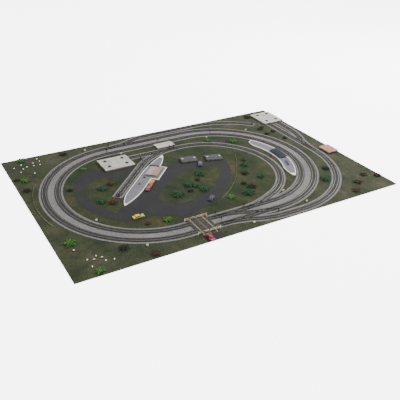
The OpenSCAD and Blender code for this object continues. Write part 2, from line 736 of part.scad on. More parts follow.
// ---- scenery --------------------------------------------------------------------------------
// Each bush: x, y, radius.
bush_list = [[-800, 571, 28], [-842, 333, 25], [-831, -329, 28], [-787, -574, 22], [-526, 316, 18],
    [427, 254, 26], [291, 334, 20], [-356, -354, 24], [35, -316, 22], [-519, 66, 25], [-571, -54, 25],
    [19, -25, 32], [-98, -104, 28], [-70, -130, 20], [-198, -171, 32], [-50, -180, 25], [140, -316, 34],
    [302, -41, 25], [302, -196, 22], [598, -384, 28], [-884, 354, 15], [-565, 543, 22], [-868, 220, 22],
    [-672, 127, 15], [190, -271, 25], [173, -221, 15], [244, -129, 22], [-635, -471, 24], [685, -290, 22],
    [727, 537, 25], [685, 333, 18], [710, 349, 16], [740, 266, 17], [680, 252, 17], [742, 149, 16],
    [-119, -162, 16], [-27, -75, 14], [-460, 91, 20], [-523, -91, 22], [-456, -341, 13], [-529, -571, 22],
    [331, 9, 15], [823, -441, 20], [731, -491, 22], [656, -558, 22], [885, -483, 20]];
module bush(r) {
    h = 5 + r * 0.22;
    rotate_extrude($fn = 24) polygon([[0, 0], [r * 0.92, 0], [r, h * 0.35], [r * 0.82, h * 0.75],
        [r * 0.45, h], [0, h * 1.08]]);
}
module bushes() {
    color("#3c6b3a") for (b = bush_list) translate([b[0], b[1], board_t]) bush(b[2]);
}

sheep_list = [[-717, 554, 20], [-712, 520, 80], [-752, 511, 140], [-817, 516, 10], [-862, 493, 60],
    [-819, 464, 100], [-794, 479, 30], [-756, 479, 160], [-721, 476, 45], [-840, 431, 90], [-777, 389, 15],
    [-835, -387, 120], [-808, -479, 40], [-781, -489, 0], [-765, -470, 75], [-746, -489, 150],
    [-740, -519, 25], [-806, -533, 95], [-704, -527, 60]];
module sheep() {
    leg = 1.8;
    color("#e9e6dc") for (s = sheep_list) at(s) translate([0, 0, board_t]) union() {
        translate([-5, 0, leg + 2.4]) rotate([0, 90, 0]) rotate_extrude($fn = 16)
            polygon([[0, 0], [1.6, 0.3], [2.6, 2], [2.7, 7], [1.8, 9.4], [0, 10]]);
        translate([4, -1, leg + 2.6]) cube([3.4, 2, 2.4]);
        for (x = [-3.4, 3], y = [-1.3, 0.7]) translate([x, y, 0]) cube([0.8, 0.8, leg + 1.5]);
    }
}

// ---- road vehicles --------------------------------------------------------------------------
car_l = 58;
car_w = 24;
wheel_r = 4.2;
axle_r = 0.9;
axle_x = 17;
tyre_w = 3;
car_z = board_t + skin;
module car_shell() {
    belt = 8;
    translate([0, 0, car_z]) difference() {
        union() {
            translate([-car_l / 2, car_w / 2 - 1, 0]) rotate([90, 0, 0]) linear_extrude(car_w - 2)
                polygon([[0, 2.2], [0, 6.6], [2, belt], [car_l - 2, belt - 0.8], [car_l, 5.6], [car_l, 2.2]]);
            translate([-car_l / 2, car_w / 2 - 3.5, 0]) rotate([90, 0, 0]) linear_extrude(car_w - 7)
                polygon([[8, belt - 1], [13, 13], [33, 13], [42, belt - 1]]);
        }
        for (x = [-axle_x, axle_x]) {
            for (s = [-1, 1]) translate([x, s * (car_w / 2 - 2.2), wheel_r]) rotate([90, 0, 0])
                cylinder(r = wheel_r + 0.6, h = tyre_w + 2, center = true);
            translate([x, 0, wheel_r]) rotate([90, 0, 0])
                cylinder(r = axle_r + 0.07, h = car_w, center = true);
        }
    }
}
module car_axle(x) {
    translate([x, 0, car_z + wheel_r]) rotate([90, 0, 0]) union() {
        cylinder(r = axle_r, h = car_w - 2, center = true);
        for (s = [-1, 1]) translate([0, 0, s * (car_w / 2 - 2.2)])
            cylinder(r = wheel_r, h = tyre_w, center = true);
    }
}
yellow_at = [-469, -269, 0];
red_at = [-255, -571, 90];
blue_at = [-65, -279, 40];
parked_at = [[-303, -42, 50], [-262, 5, 47], [82, 78, 60]];
module yellow_car() { color("#d8cf4a") at(yellow_at) car_shell(); }
module yellow_car_axle(i) { color("#222222") at(yellow_at) car_axle(i == 1 ? axle_x : -axle_x); }
module red_car() { color("#c02f2a") at(red_at) car_shell(); }
module red_car_axle(i) { color("#222222") at(red_at) car_axle(i == 1 ? axle_x : -axle_x); }
module blue_car() { color("#2f4f86") at(blue_at) car_shell(); }
module blue_car_axle(i) { color("#222222") at(blue_at) car_axle(i == 1 ? axle_x : -axle_x); }
module parked_cars() {
    color("#8a4a2c") for (p = parked_at) at(p) union() {
        car_shell();
        for (x = [-axle_x, axle_x]) car_axle(x);
    }
}

// ---- output ---------------------------------------------------------------------------------
scenic_board();
road_surface();
ballast_bed();
oval_sleepers();
branch_sleepers();
turnout_sleepers();
oval_rails();
branch_rails();
turnout_rails();
for (i = [1 : 7]) switch_blades(i);
crossing_deck();
gate_posts();
for (i = [1 : 4]) gate(i);
signal_posts();
for (i = [1 : 3]) signal_arm(i);
ground_signals();
water_crane_column();
water_crane_arm();
buffer_stops();
platform_slabs();
platform_edging();
platform_canopy();
platform_shelters();
station_walls();
station_roof();
shed_walls();
shed_roofs();
roof_vents();
signal_box_walls();
signal_box_roof();
house_walls();
house_roofs();
chimneys();
depot_walls();
depot_roof();
lineside_cabinets();
fences();
bushes();
sheep();
yellow_car();
for (i = [1, 2]) yellow_car_axle(i);
red_car();
for (i = [1, 2]) red_car_axle(i);
blue_car();
for (i = [1, 2]) blue_car_axle(i);
parked_cars();
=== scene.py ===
"""The looks of a 16.5 mm gauge model railway, laid out on a flat scenic board.

The CAD part gives every size and place. This script dresses it: finishes for the parts whose shape is
right, and finer pieces in place of the plain ones, such as separate sleepers, tiled roofs and foliage.
Shapes are worked out in millimetres and turned to metres when a piece is made.
"""
# %% [markdown]
# # Loading the frame
# The frame is the CAD model, one object for each part, resting on its moving bodies. The boxes of its parts
# give the sizes and heights used below.

# %% Load the frame
import math

import bmesh
import bpy
import numpy as np
from mathutils import Matrix, Vector


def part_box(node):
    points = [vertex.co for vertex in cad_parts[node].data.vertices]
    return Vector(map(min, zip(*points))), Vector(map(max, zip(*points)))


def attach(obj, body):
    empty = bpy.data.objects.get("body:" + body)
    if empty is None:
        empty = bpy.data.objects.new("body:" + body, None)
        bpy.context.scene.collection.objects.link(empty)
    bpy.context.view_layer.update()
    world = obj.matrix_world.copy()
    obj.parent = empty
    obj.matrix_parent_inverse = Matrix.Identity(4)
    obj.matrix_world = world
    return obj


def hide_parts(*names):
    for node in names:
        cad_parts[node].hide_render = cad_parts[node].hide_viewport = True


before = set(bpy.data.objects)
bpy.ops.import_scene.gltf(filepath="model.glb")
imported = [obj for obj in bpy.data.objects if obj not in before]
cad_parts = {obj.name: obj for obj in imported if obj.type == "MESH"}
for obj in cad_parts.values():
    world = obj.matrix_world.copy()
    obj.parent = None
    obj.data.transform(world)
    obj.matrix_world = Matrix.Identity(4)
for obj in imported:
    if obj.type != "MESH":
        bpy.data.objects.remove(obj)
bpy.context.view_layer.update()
MM = 0.001
RANDOM = np.random.default_rng(165)


def box_mm(node):
    """Lowest and highest corner of a CAD part, in millimetres."""
    low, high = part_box(node)
    return np.array(low) / MM, np.array(high) / MM


print("board", box_mm("scenic_board"))

# %% [markdown]
# # Meshes from arrays
# A real layout is hundreds of small mouldings. In Blender each could be modelled by hand, or made from
# primitives and duplicated. Here a shape is a pair of arrays, corners and four-sided faces, so that
# thousands of copies are placed at once with one multiplication, and one mesh holds them all.

# %% Shapes as arrays
def join(*shapes):
    """Several shapes as one: the face numbers of each are moved on by the corners before it."""
    starts = np.cumsum([0] + [len(verts) for verts, _ in shapes[:-1]])
    return (np.concatenate([verts for verts, _ in shapes]),
            np.concatenate([faces + start for (_, faces), start in zip(shapes, starts)]))


def placed(shape, poses, z=0.0):
    """A copy of a shape at each pose [x, y, heading in degrees]: turned by the heading, then moved."""
    verts, faces = shape
    poses = np.asarray(poses, float).reshape(-1, 3)
    c, s = np.cos(np.radians(poses[:, 2, None])), np.sin(np.radians(poses[:, 2, None]))
    x = verts[:, 0] * c - verts[:, 1] * s + poses[:, 0, None]
    y = verts[:, 0] * s + verts[:, 1] * c + poses[:, 1, None]
    out = np.stack([x, y, np.broadcast_to(verts[:, 2] + z, x.shape)], axis=2)
    steps = np.arange(len(poses))[:, None, None] * len(verts)
    return out.reshape(-1, 3), (faces[None] + steps).reshape(-1, 4)


def block(low, high):
    """A box between two corners, its faces turned outwards."""
    pick = np.array([[0, 0, 0], [1, 0, 0], [1, 1, 0], [0, 1, 0], [0, 0, 1], [1, 0, 1], [1, 1, 1], [0, 1, 1]])
    faces = np.array([[0, 3, 2, 1], [4, 5, 6, 7], [0, 1, 5, 4], [1, 2, 6, 5], [2, 3, 7, 6], [3, 0, 4, 7]])
    return np.where(pick == 1, high, low).astype(float), faces


def tube(rings, closed=False):
    """Faces round a stack of closed rings, rows x points x 3. Each end ring, which has an even number of
    points, is capped by joining opposite points; a closed stack joins its last ring to its first."""
    rows, n = rings.shape[:2]
    i, j = np.arange(rows if closed else rows - 1)[:, None], np.arange(n)[None]
    up, on = (i + 1) % rows, (j + 1) % n
    sides = np.stack([i * n + j, i * n + on, up * n + on, up * n + j], axis=2).reshape(-1, 4)
    if closed:
        return rings.reshape(-1, 3), sides
    k = np.arange(n // 2 - 1)
    cap = np.stack([k, n - 1 - k, n - 2 - k, k + 1], axis=1)
    return rings.reshape(-1, 3), np.concatenate([sides, cap, cap[:, ::-1] + (rows - 1) * n])


def turned(profile, n=16):
    """A turned shape: each [radius, height] of the profile, from the bottom up, swept round the z axis."""
    profile = np.asarray(profile, float)
    a = np.arange(n) * 2 * np.pi / n
    r, z = profile[:, :1], profile[:, 1:]
    return tube(np.stack([r * np.cos(a), r * np.sin(a), np.broadcast_to(z, (len(profile), n))], axis=2))


def relief(x, y, top, bottom):
    """A closed slab over a grid of points x, y, rows x columns: its upper face at height top, its lower at
    bottom. Two ends of every column are joined through the underside, so each column is one ring."""
    low = np.broadcast_to(bottom, x.shape)
    rings = np.concatenate([np.stack([x, y, top], axis=2),
                            np.stack([x, y, low], axis=2)[:, ::-1]], axis=1)
    return tube(rings)


print("a box has", len(block((0, 0, 0), (1, 1, 1))[1]), "faces")

# %% [markdown]
# # Making a piece
# One function turns arrays into a Blender mesh, gives it its finish, and says which moving body it rides
# on and which CAD parts it stands for. Tints are a colour for each corner, kept with the mesh.

# %% The piece function
def piece(name, shape, material, body="layout", slot=None, stands_for=(), tint=None, smooth=None):
    """A mesh object from a shape in millimetres. It sits at the origin, with its place in its mesh."""
    verts, faces = shape
    mesh = bpy.data.meshes.new(name)
    mesh.from_pydata(verts * MM, [], faces.tolist())
    if tint is not None:
        colour = mesh.color_attributes.new("tint", "FLOAT_COLOR", "POINT")
        colour.data.foreach_set("color", np.asarray(tint, np.float32).ravel())
    mesh.materials.append(material)
    mesh.update()
    obj = bpy.data.objects.new(name, mesh)
    bpy.context.scene.collection.objects.link(obj)
    if smooth is not None:
        mesh.shade_smooth()
        mesh.set_sharp_from_angle(angle=math.radians(smooth))
    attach(obj, body)
    if stands_for:
        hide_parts(*stands_for)
    print(f"{name}: {len(faces)} faces")
    return obj


def dress(node, material):
    """Gives a CAD part, whose shape is right, its finish."""
    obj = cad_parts[node]
    obj.data.materials.clear()
    obj.data.materials.append(material)


def eased(name, node, material, radius, body="layout"):
    """A copy of a CAD part with its edges eased to a radius in millimetres, as moulded parts have."""
    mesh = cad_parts[node].data.copy()
    mesh.name = name
    work = bmesh.new()
    work.from_mesh(mesh)
    bmesh.ops.remove_doubles(work, verts=work.verts, dist=1e-6)
    bmesh.ops.dissolve_limit(work, angle_limit=math.radians(1), verts=work.verts, edges=work.edges)
    work.to_mesh(mesh)
    work.free()
    mesh.materials.clear()
    mesh.materials.append(material)
    obj = bpy.data.objects.new(name, mesh)
    bpy.context.scene.collection.objects.link(obj)
    bevel = obj.modifiers.new("eased edges", "BEVEL")
    bevel.width, bevel.segments, bevel.limit_method = radius * MM, 2, "ANGLE"
    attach(obj, body)
    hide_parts(node)
    return obj


# %% [markdown]
# # Finishes
# Most of a scenic layout is matt: flock, card, moulded styrene and paint. What makes these look real is
# that no surface is one colour. So the usual finish mixes a few colours over patches of a real size, and
# a finer grain darkens and lightens them and lifts the surface a little.

# %% Colour and node helpers
def linear(code):
    """An sRGB hex colour as the linear colour that shaders need: ((v + 0.055) / 1.055) to the power 2.4."""
    v = np.array([int(code[i:i + 2], 16) for i in (1, 3, 5)]) / 255
    return (*np.where(v <= 0.04045, v / 12.92, ((v + 0.055) / 1.055) ** 2.4), 1.0)


def add(tree, kind, inputs=None, stops=(), **settings):
    """Adds a node: settings are its properties, inputs its sockets, each a value or another's output, and
    stops the [place, hex colour] rows of a colour ramp."""
    node = tree.nodes.new(kind)
    for key, value in settings.items():
        setattr(node, key, value)
    for key, value in (inputs or {}).items():
        if isinstance(value, bpy.types.NodeSocket):
            tree.links.new(value, node.inputs[key])
        else:
            node.inputs[key].default_value = value
    for _ in stops[2:]:
        node.color_ramp.elements.new(0.5)
    for i, (place, code) in enumerate(stops):
        node.color_ramp.elements[i].position, node.color_ramp.elements[i].color = place, linear(code)
    return node


def new_material(name, roughness=0.6, **sockets):
    """An empty material: its tree, its shader, and the object's own coordinates, which are in metres."""
    material = bpy.data.materials.new(name)
    material.use_nodes = True
    tree = material.node_tree
    shader = tree.nodes["Principled BSDF"]
    shader.inputs["Roughness"].default_value = roughness
    for key, value in sockets.items():
        shader.inputs[key.replace("_", " ")].default_value = value
    return material, tree, shader, add(tree, "ShaderNodeTexCoord").outputs["Object"]


def grained(tree, shader, place, colour, grain_mm, depth, bump_mm):
    """Ends a material: a grain of that size makes the colour vary by depth and lifts it by bump_mm."""
    grain = add(tree, "ShaderNodeTexNoise", {"Vector": place, "Scale": 1000 / grain_mm, "Detail": 4.0})
    shade = add(tree, "ShaderNodeMapRange", {"Value": grain.outputs["Fac"], "From Min": 0.3,
                "From Max": 0.7, "To Min": 1 - depth, "To Max": 1 + depth})
    mixed = add(tree, "ShaderNodeVectorMath", {0: colour, 1: shade.outputs["Result"]}, operation="MULTIPLY")
    tree.links.new(mixed.outputs["Vector"], shader.inputs["Base Color"])
    bump = add(tree, "ShaderNodeBump", {"Height": grain.outputs["Fac"], "Distance": bump_mm * MM})
    tree.links.new(bump.outputs["Normal"], shader.inputs["Normal"])


def mottled(name, stops, patch_mm, grain_mm, depth, bump_mm, roughness=0.8, **sockets):
    """The usual finish: colours in patches of one size, with a finer grain over them."""
    material, tree, shader, place = new_material(name, roughness, **sockets)
    patches = add(tree, "ShaderNodeTexNoise", {"Vector": place, "Scale": 1000 / patch_mm, "Detail": 5.0,
                  "Roughness": 0.6})
    hues = add(tree, "ShaderNodeValToRGB", {"Fac": patches.outputs["Fac"]}, stops)
    grained(tree, shader, place, hues.outputs["Color"], grain_mm, depth, bump_mm)
    return material


def tinted(name, roughness, grain_mm, depth, bump_mm, **sockets):
    """The finish of a piece whose corners hold their own colours, with a grain over them."""
    material, tree, shader, place = new_material(name, roughness, **sockets)
    tints = add(tree, "ShaderNodeAttribute", attribute_name="tint")
    grained(tree, shader, place, tints.outputs["Color"], grain_mm, depth, bump_mm)
    return material


# %% [markdown]
# # Camera and light
# The board is seen from its front left, 30 degrees above the table, with a lens of about 50 mm. A studio
# would use a big softbox and white walls: here one broad area light stands on the right, out of the
# line in which rails and roofs would mirror it, a weaker one fills from the front left, and a bright even
# world does the rest. The floor glows a little of its own, which keeps it near white under the lights.

# %% Camera
scene = bpy.context.scene
camera = bpy.data.objects.new("camera", bpy.data.cameras.new("camera"))
scene.collection.objects.link(camera)
camera.data.lens, camera.data.sensor_width, camera.data.shift_x = 50.1, 36.0, 0.05
camera.data.clip_start, camera.data.clip_end = 0.1, 50.0
LOOK_RIGHT, LOOK_DOWN, ROLL = 29.73, 30.42, 1.24          # degrees from +Y, below level, and tilt
camera.matrix_world = (Matrix.Translation((-1.4135, -2.3185, 1.4248))
                       @ Matrix.Rotation(-math.radians(LOOK_RIGHT), 4, "Z")
                       @ Matrix.Rotation(math.radians(90 - LOOK_DOWN), 4, "X")
                       @ Matrix.Rotation(math.radians(ROLL), 4, "Z"))
scene.camera = camera

# %% Lights and floor
world = bpy.data.worlds.new("studio")
scene.world = world
world.use_nodes = True
world.node_tree.nodes["Background"].inputs["Color"].default_value = linear("#fbfbff")
world.node_tree.nodes["Background"].inputs["Strength"].default_value = 1.25


def softbox(name, place, size, power):
    """A square area light of that size in metres, facing the middle of the board."""
    lamp = bpy.data.lights.new(name, "AREA")
    lamp.energy, lamp.size = power, size
    obj = bpy.data.objects.new(name, lamp)
    obj.matrix_world = (Matrix.Translation(place)
                        @ (-Vector(place)).to_track_quat("-Z", "Y").to_matrix().to_4x4())
    scene.collection.objects.link(obj)


softbox("key", (3.3, 0.7, 2.7), 1.2, 210)
softbox("fill", (-2.6, -2.0, 2.6), 3.0, 30)

floor_mesh = bpy.data.meshes.new("floor")
floor_mesh.from_pydata([(-14, -14, 0), (14, -14, 0), (14, 14, 0), (-14, 14, 0)], [], [(0, 1, 2, 3)])
floor = bpy.data.objects.new("floor", floor_mesh)
floor.location.z = -0.0005
floor_paint, _, floor_shader, _ = new_material("pale studio floor", 0.9)
floor_shader.inputs["Base Color"].default_value = linear("#f7f7f7")
floor_shader.inputs["Emission Color"].default_value = linear("#ffffff")
floor_shader.inputs["Emission Strength"].default_value = 5.0
floor_mesh.materials.append(floor_paint)
scene.collection.objects.link(floor)

# %% [markdown]
# # Ground
# The ground is short flock or a printed grass paper on a thin board: dull olive with paler, greyer and
# browner patches, under a fine speckle. Flock fibres are under 2 mm, too fine to show, so the speckle is
# drawn at about 4 mm.

# %% Ground, road and ballast finishes
grass, tree, shader, place = new_material("flocked grass", 0.95, Specular_IOR_Level=0.3)
patches = add(tree, "ShaderNodeTexNoise", {"Vector": place, "Scale": 1000 / 150, "Detail": 6.0,
              "Roughness": 0.65})
dry = add(tree, "ShaderNodeValToRGB", {"Fac": patches.outputs["Fac"]},
          [[0.32, "#1f2716"], [0.45, "#2e341e"], [0.56, "#383924"], [0.7, "#464334"]])
lush = add(tree, "ShaderNodeValToRGB", {"Fac": patches.outputs["Fac"]},
           [[0.32, "#11200a"], [0.45, "#222b11"], [0.56, "#303418"], [0.68, "#43381f"]])
# inside the ovals: how far a point is from the line between their two centres
middle = add(tree, "ShaderNodeSeparateXYZ", {0: place})
nearest = add(tree, "ShaderNodeClamp", {"Value": middle.outputs["X"], "Min": -0.317, "Max": 0.186})
core_point = add(tree, "ShaderNodeCombineXYZ", {"X": nearest.outputs[0], "Y": 0.003})
flat_place = add(tree, "ShaderNodeCombineXYZ", {"X": middle.outputs["X"], "Y": middle.outputs["Y"]})
away = add(tree, "ShaderNodeVectorMath", {0: flat_place.outputs[0], 1: core_point.outputs[0]},
           operation="DISTANCE")
outside = add(tree, "ShaderNodeMapRange", {"Value": away.outputs["Value"], "From Min": 0.40,
              "From Max": 0.56})
turf = add(tree, "ShaderNodeMix", {"Factor": outside.outputs["Result"], 6: lush.outputs["Color"],
           7: dry.outputs["Color"]}, data_type="RGBA")
spots = add(tree, "ShaderNodeTexNoise", {"Vector": place, "Scale": 1000 / 30, "Detail": 4.0})
spot = add(tree, "ShaderNodeMapRange", {"Value": spots.outputs["Fac"], "From Min": 0.52, "From Max": 0.72,
           "To Max": 0.85})
turf = add(tree, "ShaderNodeMix", {"Factor": spot.outputs["Result"], 6: turf.outputs[2],
           7: linear("#1f2a17")}, data_type="RGBA")
grained(tree, shader, place, turf.outputs[2], 5, 0.5, 1.5)
dress("scenic_board", grass)

asphalt = mottled("asphalt paper", [[0.35, "#141414"], [0.65, "#1d1c1d"]], 90, 3, 0.1, 0.1, 0.95)
dress("road_surface", asphalt)

# %% [markdown]
# # Ballast
# Ballast is crushed granite, glued down, in grains of 1 mm. Each grain is its own shade of grey. A
# Voronoi pattern gives every cell its own random colour, which is just that; the cells are drawn 3.5 mm
# wide so that they show.

# %% Ballast
ballast, tree, shader, place = new_material("granite ballast", 0.9)
stones = add(tree, "ShaderNodeTexVoronoi", {"Vector": place, "Scale": 1000 / 3.5})
broad = add(tree, "ShaderNodeTexNoise", {"Vector": place, "Scale": 1000 / 180, "Detail": 4.0})
value = add(tree, "ShaderNodeMath", {0: stones.outputs["Color"], 1: broad.outputs["Fac"]}, operation="ADD")
half = add(tree, "ShaderNodeMath", {0: value.outputs[0], 1: 0.5}, operation="MULTIPLY")
grey = add(tree, "ShaderNodeValToRGB", {"Fac": half.outputs[0]},
           [[0.2, "#4a4947"], [0.5, "#676563"], [0.8, "#807e7b"]])
tree.links.new(grey.outputs["Color"], shader.inputs["Base Color"])
lift = add(tree, "ShaderNodeBump", {"Height": stones.outputs["Distance"], "Distance": 0.5 * MM})
tree.links.new(lift.outputs["Normal"], shader.inputs["Normal"])
dress("ballast_bed", ballast)

# %% [markdown]
# # The track plan
# Sectional track is bought in fixed shapes, so the plan follows from a few numbers: curves of 371, 438
# and 505 mm in steps of 22.5 degrees, and turnouts as long as a straight. A pose is [x, y, heading]; a
# run is [pose, radius, length or angle, side], where radius 0 is straight and side +1 turns left.

# %% Poses and runs
GAUGE = 16.5
INNER_R, GAP, LOOP_R, TURNOUT_R, STEP = 438, 67, 371, 438, 22.5
OUTER_R = INNER_R + GAP
STRAIGHT = 503
THIRD = STRAIGHT / 3
LEFT_X, OVAL_Y = -317, 3
RIGHT_X = LEFT_X + STRAIGHT
RAIL_Y = GAUGE / 2 + 0.55


def go(p, length):
    """The pose that length further on."""
    a = math.radians(p[2])
    return [p[0] + length * math.cos(a), p[1] + length * math.sin(a), p[2]]


def bend(p, r, angle, side):
    """The pose after an arc of radius r: the change in the heading's sine and cosine, times r."""
    a, b = math.radians(p[2]), math.radians(p[2] + side * angle)
    return [p[0] + side * r * (math.sin(b) - math.sin(a)), p[1] + side * r * (math.cos(a) - math.cos(b)),
            p[2] + side * angle]


def straight(p, length):
    return [[p, 0, length, 1]]


def curve(p, r, count, side):
    return [[bend(p, r, i * STEP, side), r, STEP, side] for i in range(count)]


def end(runs):
    p, r, amount, side = runs[-1]
    return bend(p, r, amount, side) if r else go(p, amount)


def along(run, s, y=0.0):
    """Poses at the distances s along a run, offset y to its left, as an array."""
    (x0, y0, heading), r, _, side = run
    h = math.radians(heading)
    s = np.asarray(s, float)
    if r:
        b = h + side * s / r
        x = x0 + side * r * (np.sin(b) - math.sin(h)) - y * np.sin(b)
        return np.stack([x, y0 + side * r * (math.cos(h) - np.cos(b)) + y * np.cos(b), np.degrees(b)], axis=1)
    return np.stack([x0 + s * math.cos(h) - y * math.sin(h), y0 + s * math.sin(h) + y * math.cos(h),
                     np.full(s.shape, float(heading))], axis=1)


def run_length(run):
    return math.radians(run[2]) * run[1] if run[1] else run[2]


# %% The plan
LOW_OUTER, LOW_INNER = [LEFT_X, OVAL_Y - OUTER_R, 0], [LEFT_X, OVAL_Y - INNER_R, 0]
TOP_OUTER, TOP_INNER = [LEFT_X, OVAL_Y + OUTER_R, 0], [LEFT_X, OVAL_Y + INNER_R, 0]
oval = [run for r in (OUTER_R, INNER_R) for x, y, h in ((RIGHT_X, -r, 0), (LEFT_X, r, 180))
        for run in curve([x, OVAL_Y + y, h], r, 8, 1)]
oval += straight(LOW_OUTER, THIRD) + straight(LOW_INNER, THIRD) + straight(TOP_INNER, STRAIGHT)
oval += straight(go(TOP_OUTER, THIRD), 2 * THIRD)


def branch_end(toe):
    return bend(toe[0], TURNOUT_R, STEP, toe[1])


siding_toe, loop_toe = [go(LOW_OUTER, THIRD), -1], [go(LOW_INNER, 2 * THIRD), 1]
top_toe = [TOP_OUTER, 1]
loop = straight(branch_end(loop_toe), 53)
loop += curve(end(loop), LOOP_R, 7, 1)
loop += straight(end(loop), 21)
shed_toe = [end(loop), 1]
shed_siding = straight(go(shed_toe[0], THIRD), 154)
bay = curve(branch_end(shed_toe), LOOP_R, 1, 1)
bay += straight(end(bay), 361)
back = curve(branch_end(top_toe), TURNOUT_R, 1, -1)
back += straight(end(back), 306)
back += curve(end(back), OUTER_R, 2, -1)
yard = curve(branch_end(siding_toe), TURNOUT_R, 1, 1)
yard += straight(end(yard), 103.5)
yard += curve(end(yard), OUTER_R, 4, 1)
yard_toe = [end(yard), -1]
SHED_FRONT = 375
yard_main = go(yard_toe[0], THIRD)
yard_branch = curve(branch_end(yard_toe), TURNOUT_R, 1, 1)
branches = loop + shed_siding + bay + back + yard + yard_branch
branches += straight(yard_main, SHED_FRONT - yard_main[1])
branches += straight(end(yard_branch), SHED_FRONT - end(yard_branch)[1])
turnouts = [siding_toe, [go(LOW_INNER, THIRD), -1], [[RIGHT_X, OVAL_Y - OUTER_R, 180], -1], loop_toe,
            top_toe, shed_toe, yard_toe]
print(f"track: {sum(map(run_length, oval + branches)) / 1000:.2f} m and {len(turnouts)} turnouts")

# %% [markdown]
# # Sleepers
# Flexible and sectional track has plastic sleepers moulded in one piece with low webs under the rails and
# a chair on each side of each rail. One sleeper is a chamfered bar with four chairs; it is copied every
# 8.4 mm along each run. In a turnout the sleepers grow longer as the branch leaves the main line.

# %% Sleepers
SLEEPER_W, SLEEPER_L, PITCH = 3.4, 30.0, 8.4
SLEEPER_Z, SLEEPER_TOP = box_mm("oval_sleepers")[0][2], box_mm("oval_sleepers")[1][2]


def sleeper(low, high):
    """A bar from y = low to high with chamfered top edges, its section carried along y."""
    w, h, c = SLEEPER_W / 2, SLEEPER_TOP - SLEEPER_Z, 0.35
    section = np.array([[-w, 0], [w, 0], [w, h - c], [w - c, h], [c - w, h], [-w, h - c]])
    y = np.array([low, high])[:, None]
    rings = np.stack([np.broadcast_to(section[:, 0], (2, 6)), np.broadcast_to(y, (2, 6)),
                      np.broadcast_to(section[:, 1], (2, 6))], axis=2)
    return tube(rings[:, ::-1])


def chairs(rail_y):
    """The two small lugs that hold a rail's foot."""
    h = SLEEPER_TOP - SLEEPER_Z
    return [block((-1.1, rail_y + s - 0.5, h - 0.1), (1.1, rail_y + s + 0.5, h + 0.5)) for s in (-1.6, 1.6)]


def web(run, y, top):
    """The low web under a rail: a narrow bar that follows the run."""
    s = np.linspace(0.4, run_length(run) - 0.4, 9 if run[1] else 2)
    sides = [along(run, s, y + side)[:, :2] for side in (-0.9, 0.9)]
    corners = [np.column_stack([sides[i], np.full(len(s), z)])
               for i, z in ((0, 0), (1, 0), (1, top), (0, top))]
    return tube(np.stack(corners, axis=1)[:, ::-1])


unit = join(sleeper(-SLEEPER_L / 2, SLEEPER_L / 2), *chairs(RAIL_Y), *chairs(-RAIL_Y))


def sleeper_poses(run):
    count = round(run_length(run) / PITCH)
    return along(run, (np.arange(count) + 0.5) * run_length(run) / count)


sleeper_plastic = mottled("moulded sleeper plastic", [[0.35, "#22211f"], [0.65, "#32302d"]], 60, 3, 0.12,
                          0.05, 0.75)


def stain(run):
    """A thin strip, 36 mm wide with sloping sides, under a run. Its darker grey stands for oil stain, and
    also for the shade under and between the sleepers, painted in.
    """
    s = np.linspace(0, run_length(run), 12 if run[1] else 2)
    corners = [np.column_stack([along(run, s, y)[:, :2], np.full(len(s), z)])
               for y, z in ((-18, -0.1), (18, -0.1), (17, 0.25), (-17, 0.25))]
    return tube(np.stack(corners, axis=1)[:, ::-1])


def lay(name, runs, node):
    """All the sleepers and webs of some runs, as one piece."""
    bars = placed(unit, np.concatenate([sleeper_poses(run) for run in runs]), SLEEPER_Z)
    webs = join(*[web(run, y, 1.0) for run in runs for y in (-RAIL_Y, RAIL_Y)])
    piece(name, join(bars, (webs[0] + [0, 0, SLEEPER_Z], webs[1])), sleeper_plastic,
          slot="sleeper_plastic", stands_for=[node])


# the strip's darker grey is oil stain and also painted shade under and between the sleepers
stain_and_shade_finish = mottled("oil stain and painted shade ballast", [[0.35, "#35342f"], [0.65, "#4b4945"]], 40, 3.5, 0.3, 0.4, 0.85)
branch_arcs = [[toe, TURNOUT_R, STEP, side] for toe, side in turnouts]
main_legs = [[toe, 0, THIRD, 1] for toe, _ in turnouts]
strips = join(*[stain(run) for run in oval + branches + branch_arcs + main_legs])
piece("ballast_stain_and_shade", (strips[0] + [0, 0, SLEEPER_Z], strips[1]), stain_and_shade_finish, slot="ballast")

lay("sleepers_oval", oval, "oval_sleepers")
lay("sleepers_branches", branches, "branch_sleepers")

# %% Turnout timbers
timbers = []
for s in 4.2 + PITCH * np.arange(20):
    spread = TURNOUT_R - math.sqrt(TURNOUT_R ** 2 - s ** 2)
    timber = join(sleeper(-SLEEPER_L / 2, SLEEPER_L / 2 + spread), *chairs(-RAIL_Y), *chairs(RAIL_Y + spread))
    timbers.append((timber[0] + [s, 0, 0], timber[1]))
left_hand = join(*timbers)
right_hand = left_hand[0] * [1, -1, 1], left_hand[1][:, ::-1]
fans = [placed(left_hand if side > 0 else right_hand, [toe], SLEEPER_Z) for toe, side in turnouts]
piece("sleepers_turnouts", join(*fans), sleeper_plastic, slot="sleeper_plastic",
      stands_for=["turnout_sleepers"])

# %% [markdown]
# # Rails
# Model rail is drawn nickel silver. Its head is kept bright by the trains, while the web and foot dull
# to brown. The surface's own direction tells the two apart: what faces up is bright.

# %% Rails and blades
nickel, tree, shader, place = new_material("drawn nickel silver", 0.5, Metallic=0.7)
facing = add(tree, "ShaderNodeSeparateXYZ", {0: add(tree, "ShaderNodeNewGeometry").outputs["Normal"]})
dull = add(tree, "ShaderNodeValToRGB", {"Fac": facing.outputs["Z"]}, [[0.75, "#2b2825"], [0.95, "#8d8981"]])
grained(tree, shader, place, dull.outputs["Color"], 6, 0.12, 0.02)
for node in ("oval_rails", "branch_rails", "turnout_rails"):
    dress(node, nickel)
steel = mottled("blackened steel", [[0.35, "#4c4a47"], [0.65, "#6f6c68"]], 30, 2, 0.1, 0.02, 0.4,
                Metallic=0.8)
for i in range(1, 8):
    dress(f"switch_blades_{i}", steel)

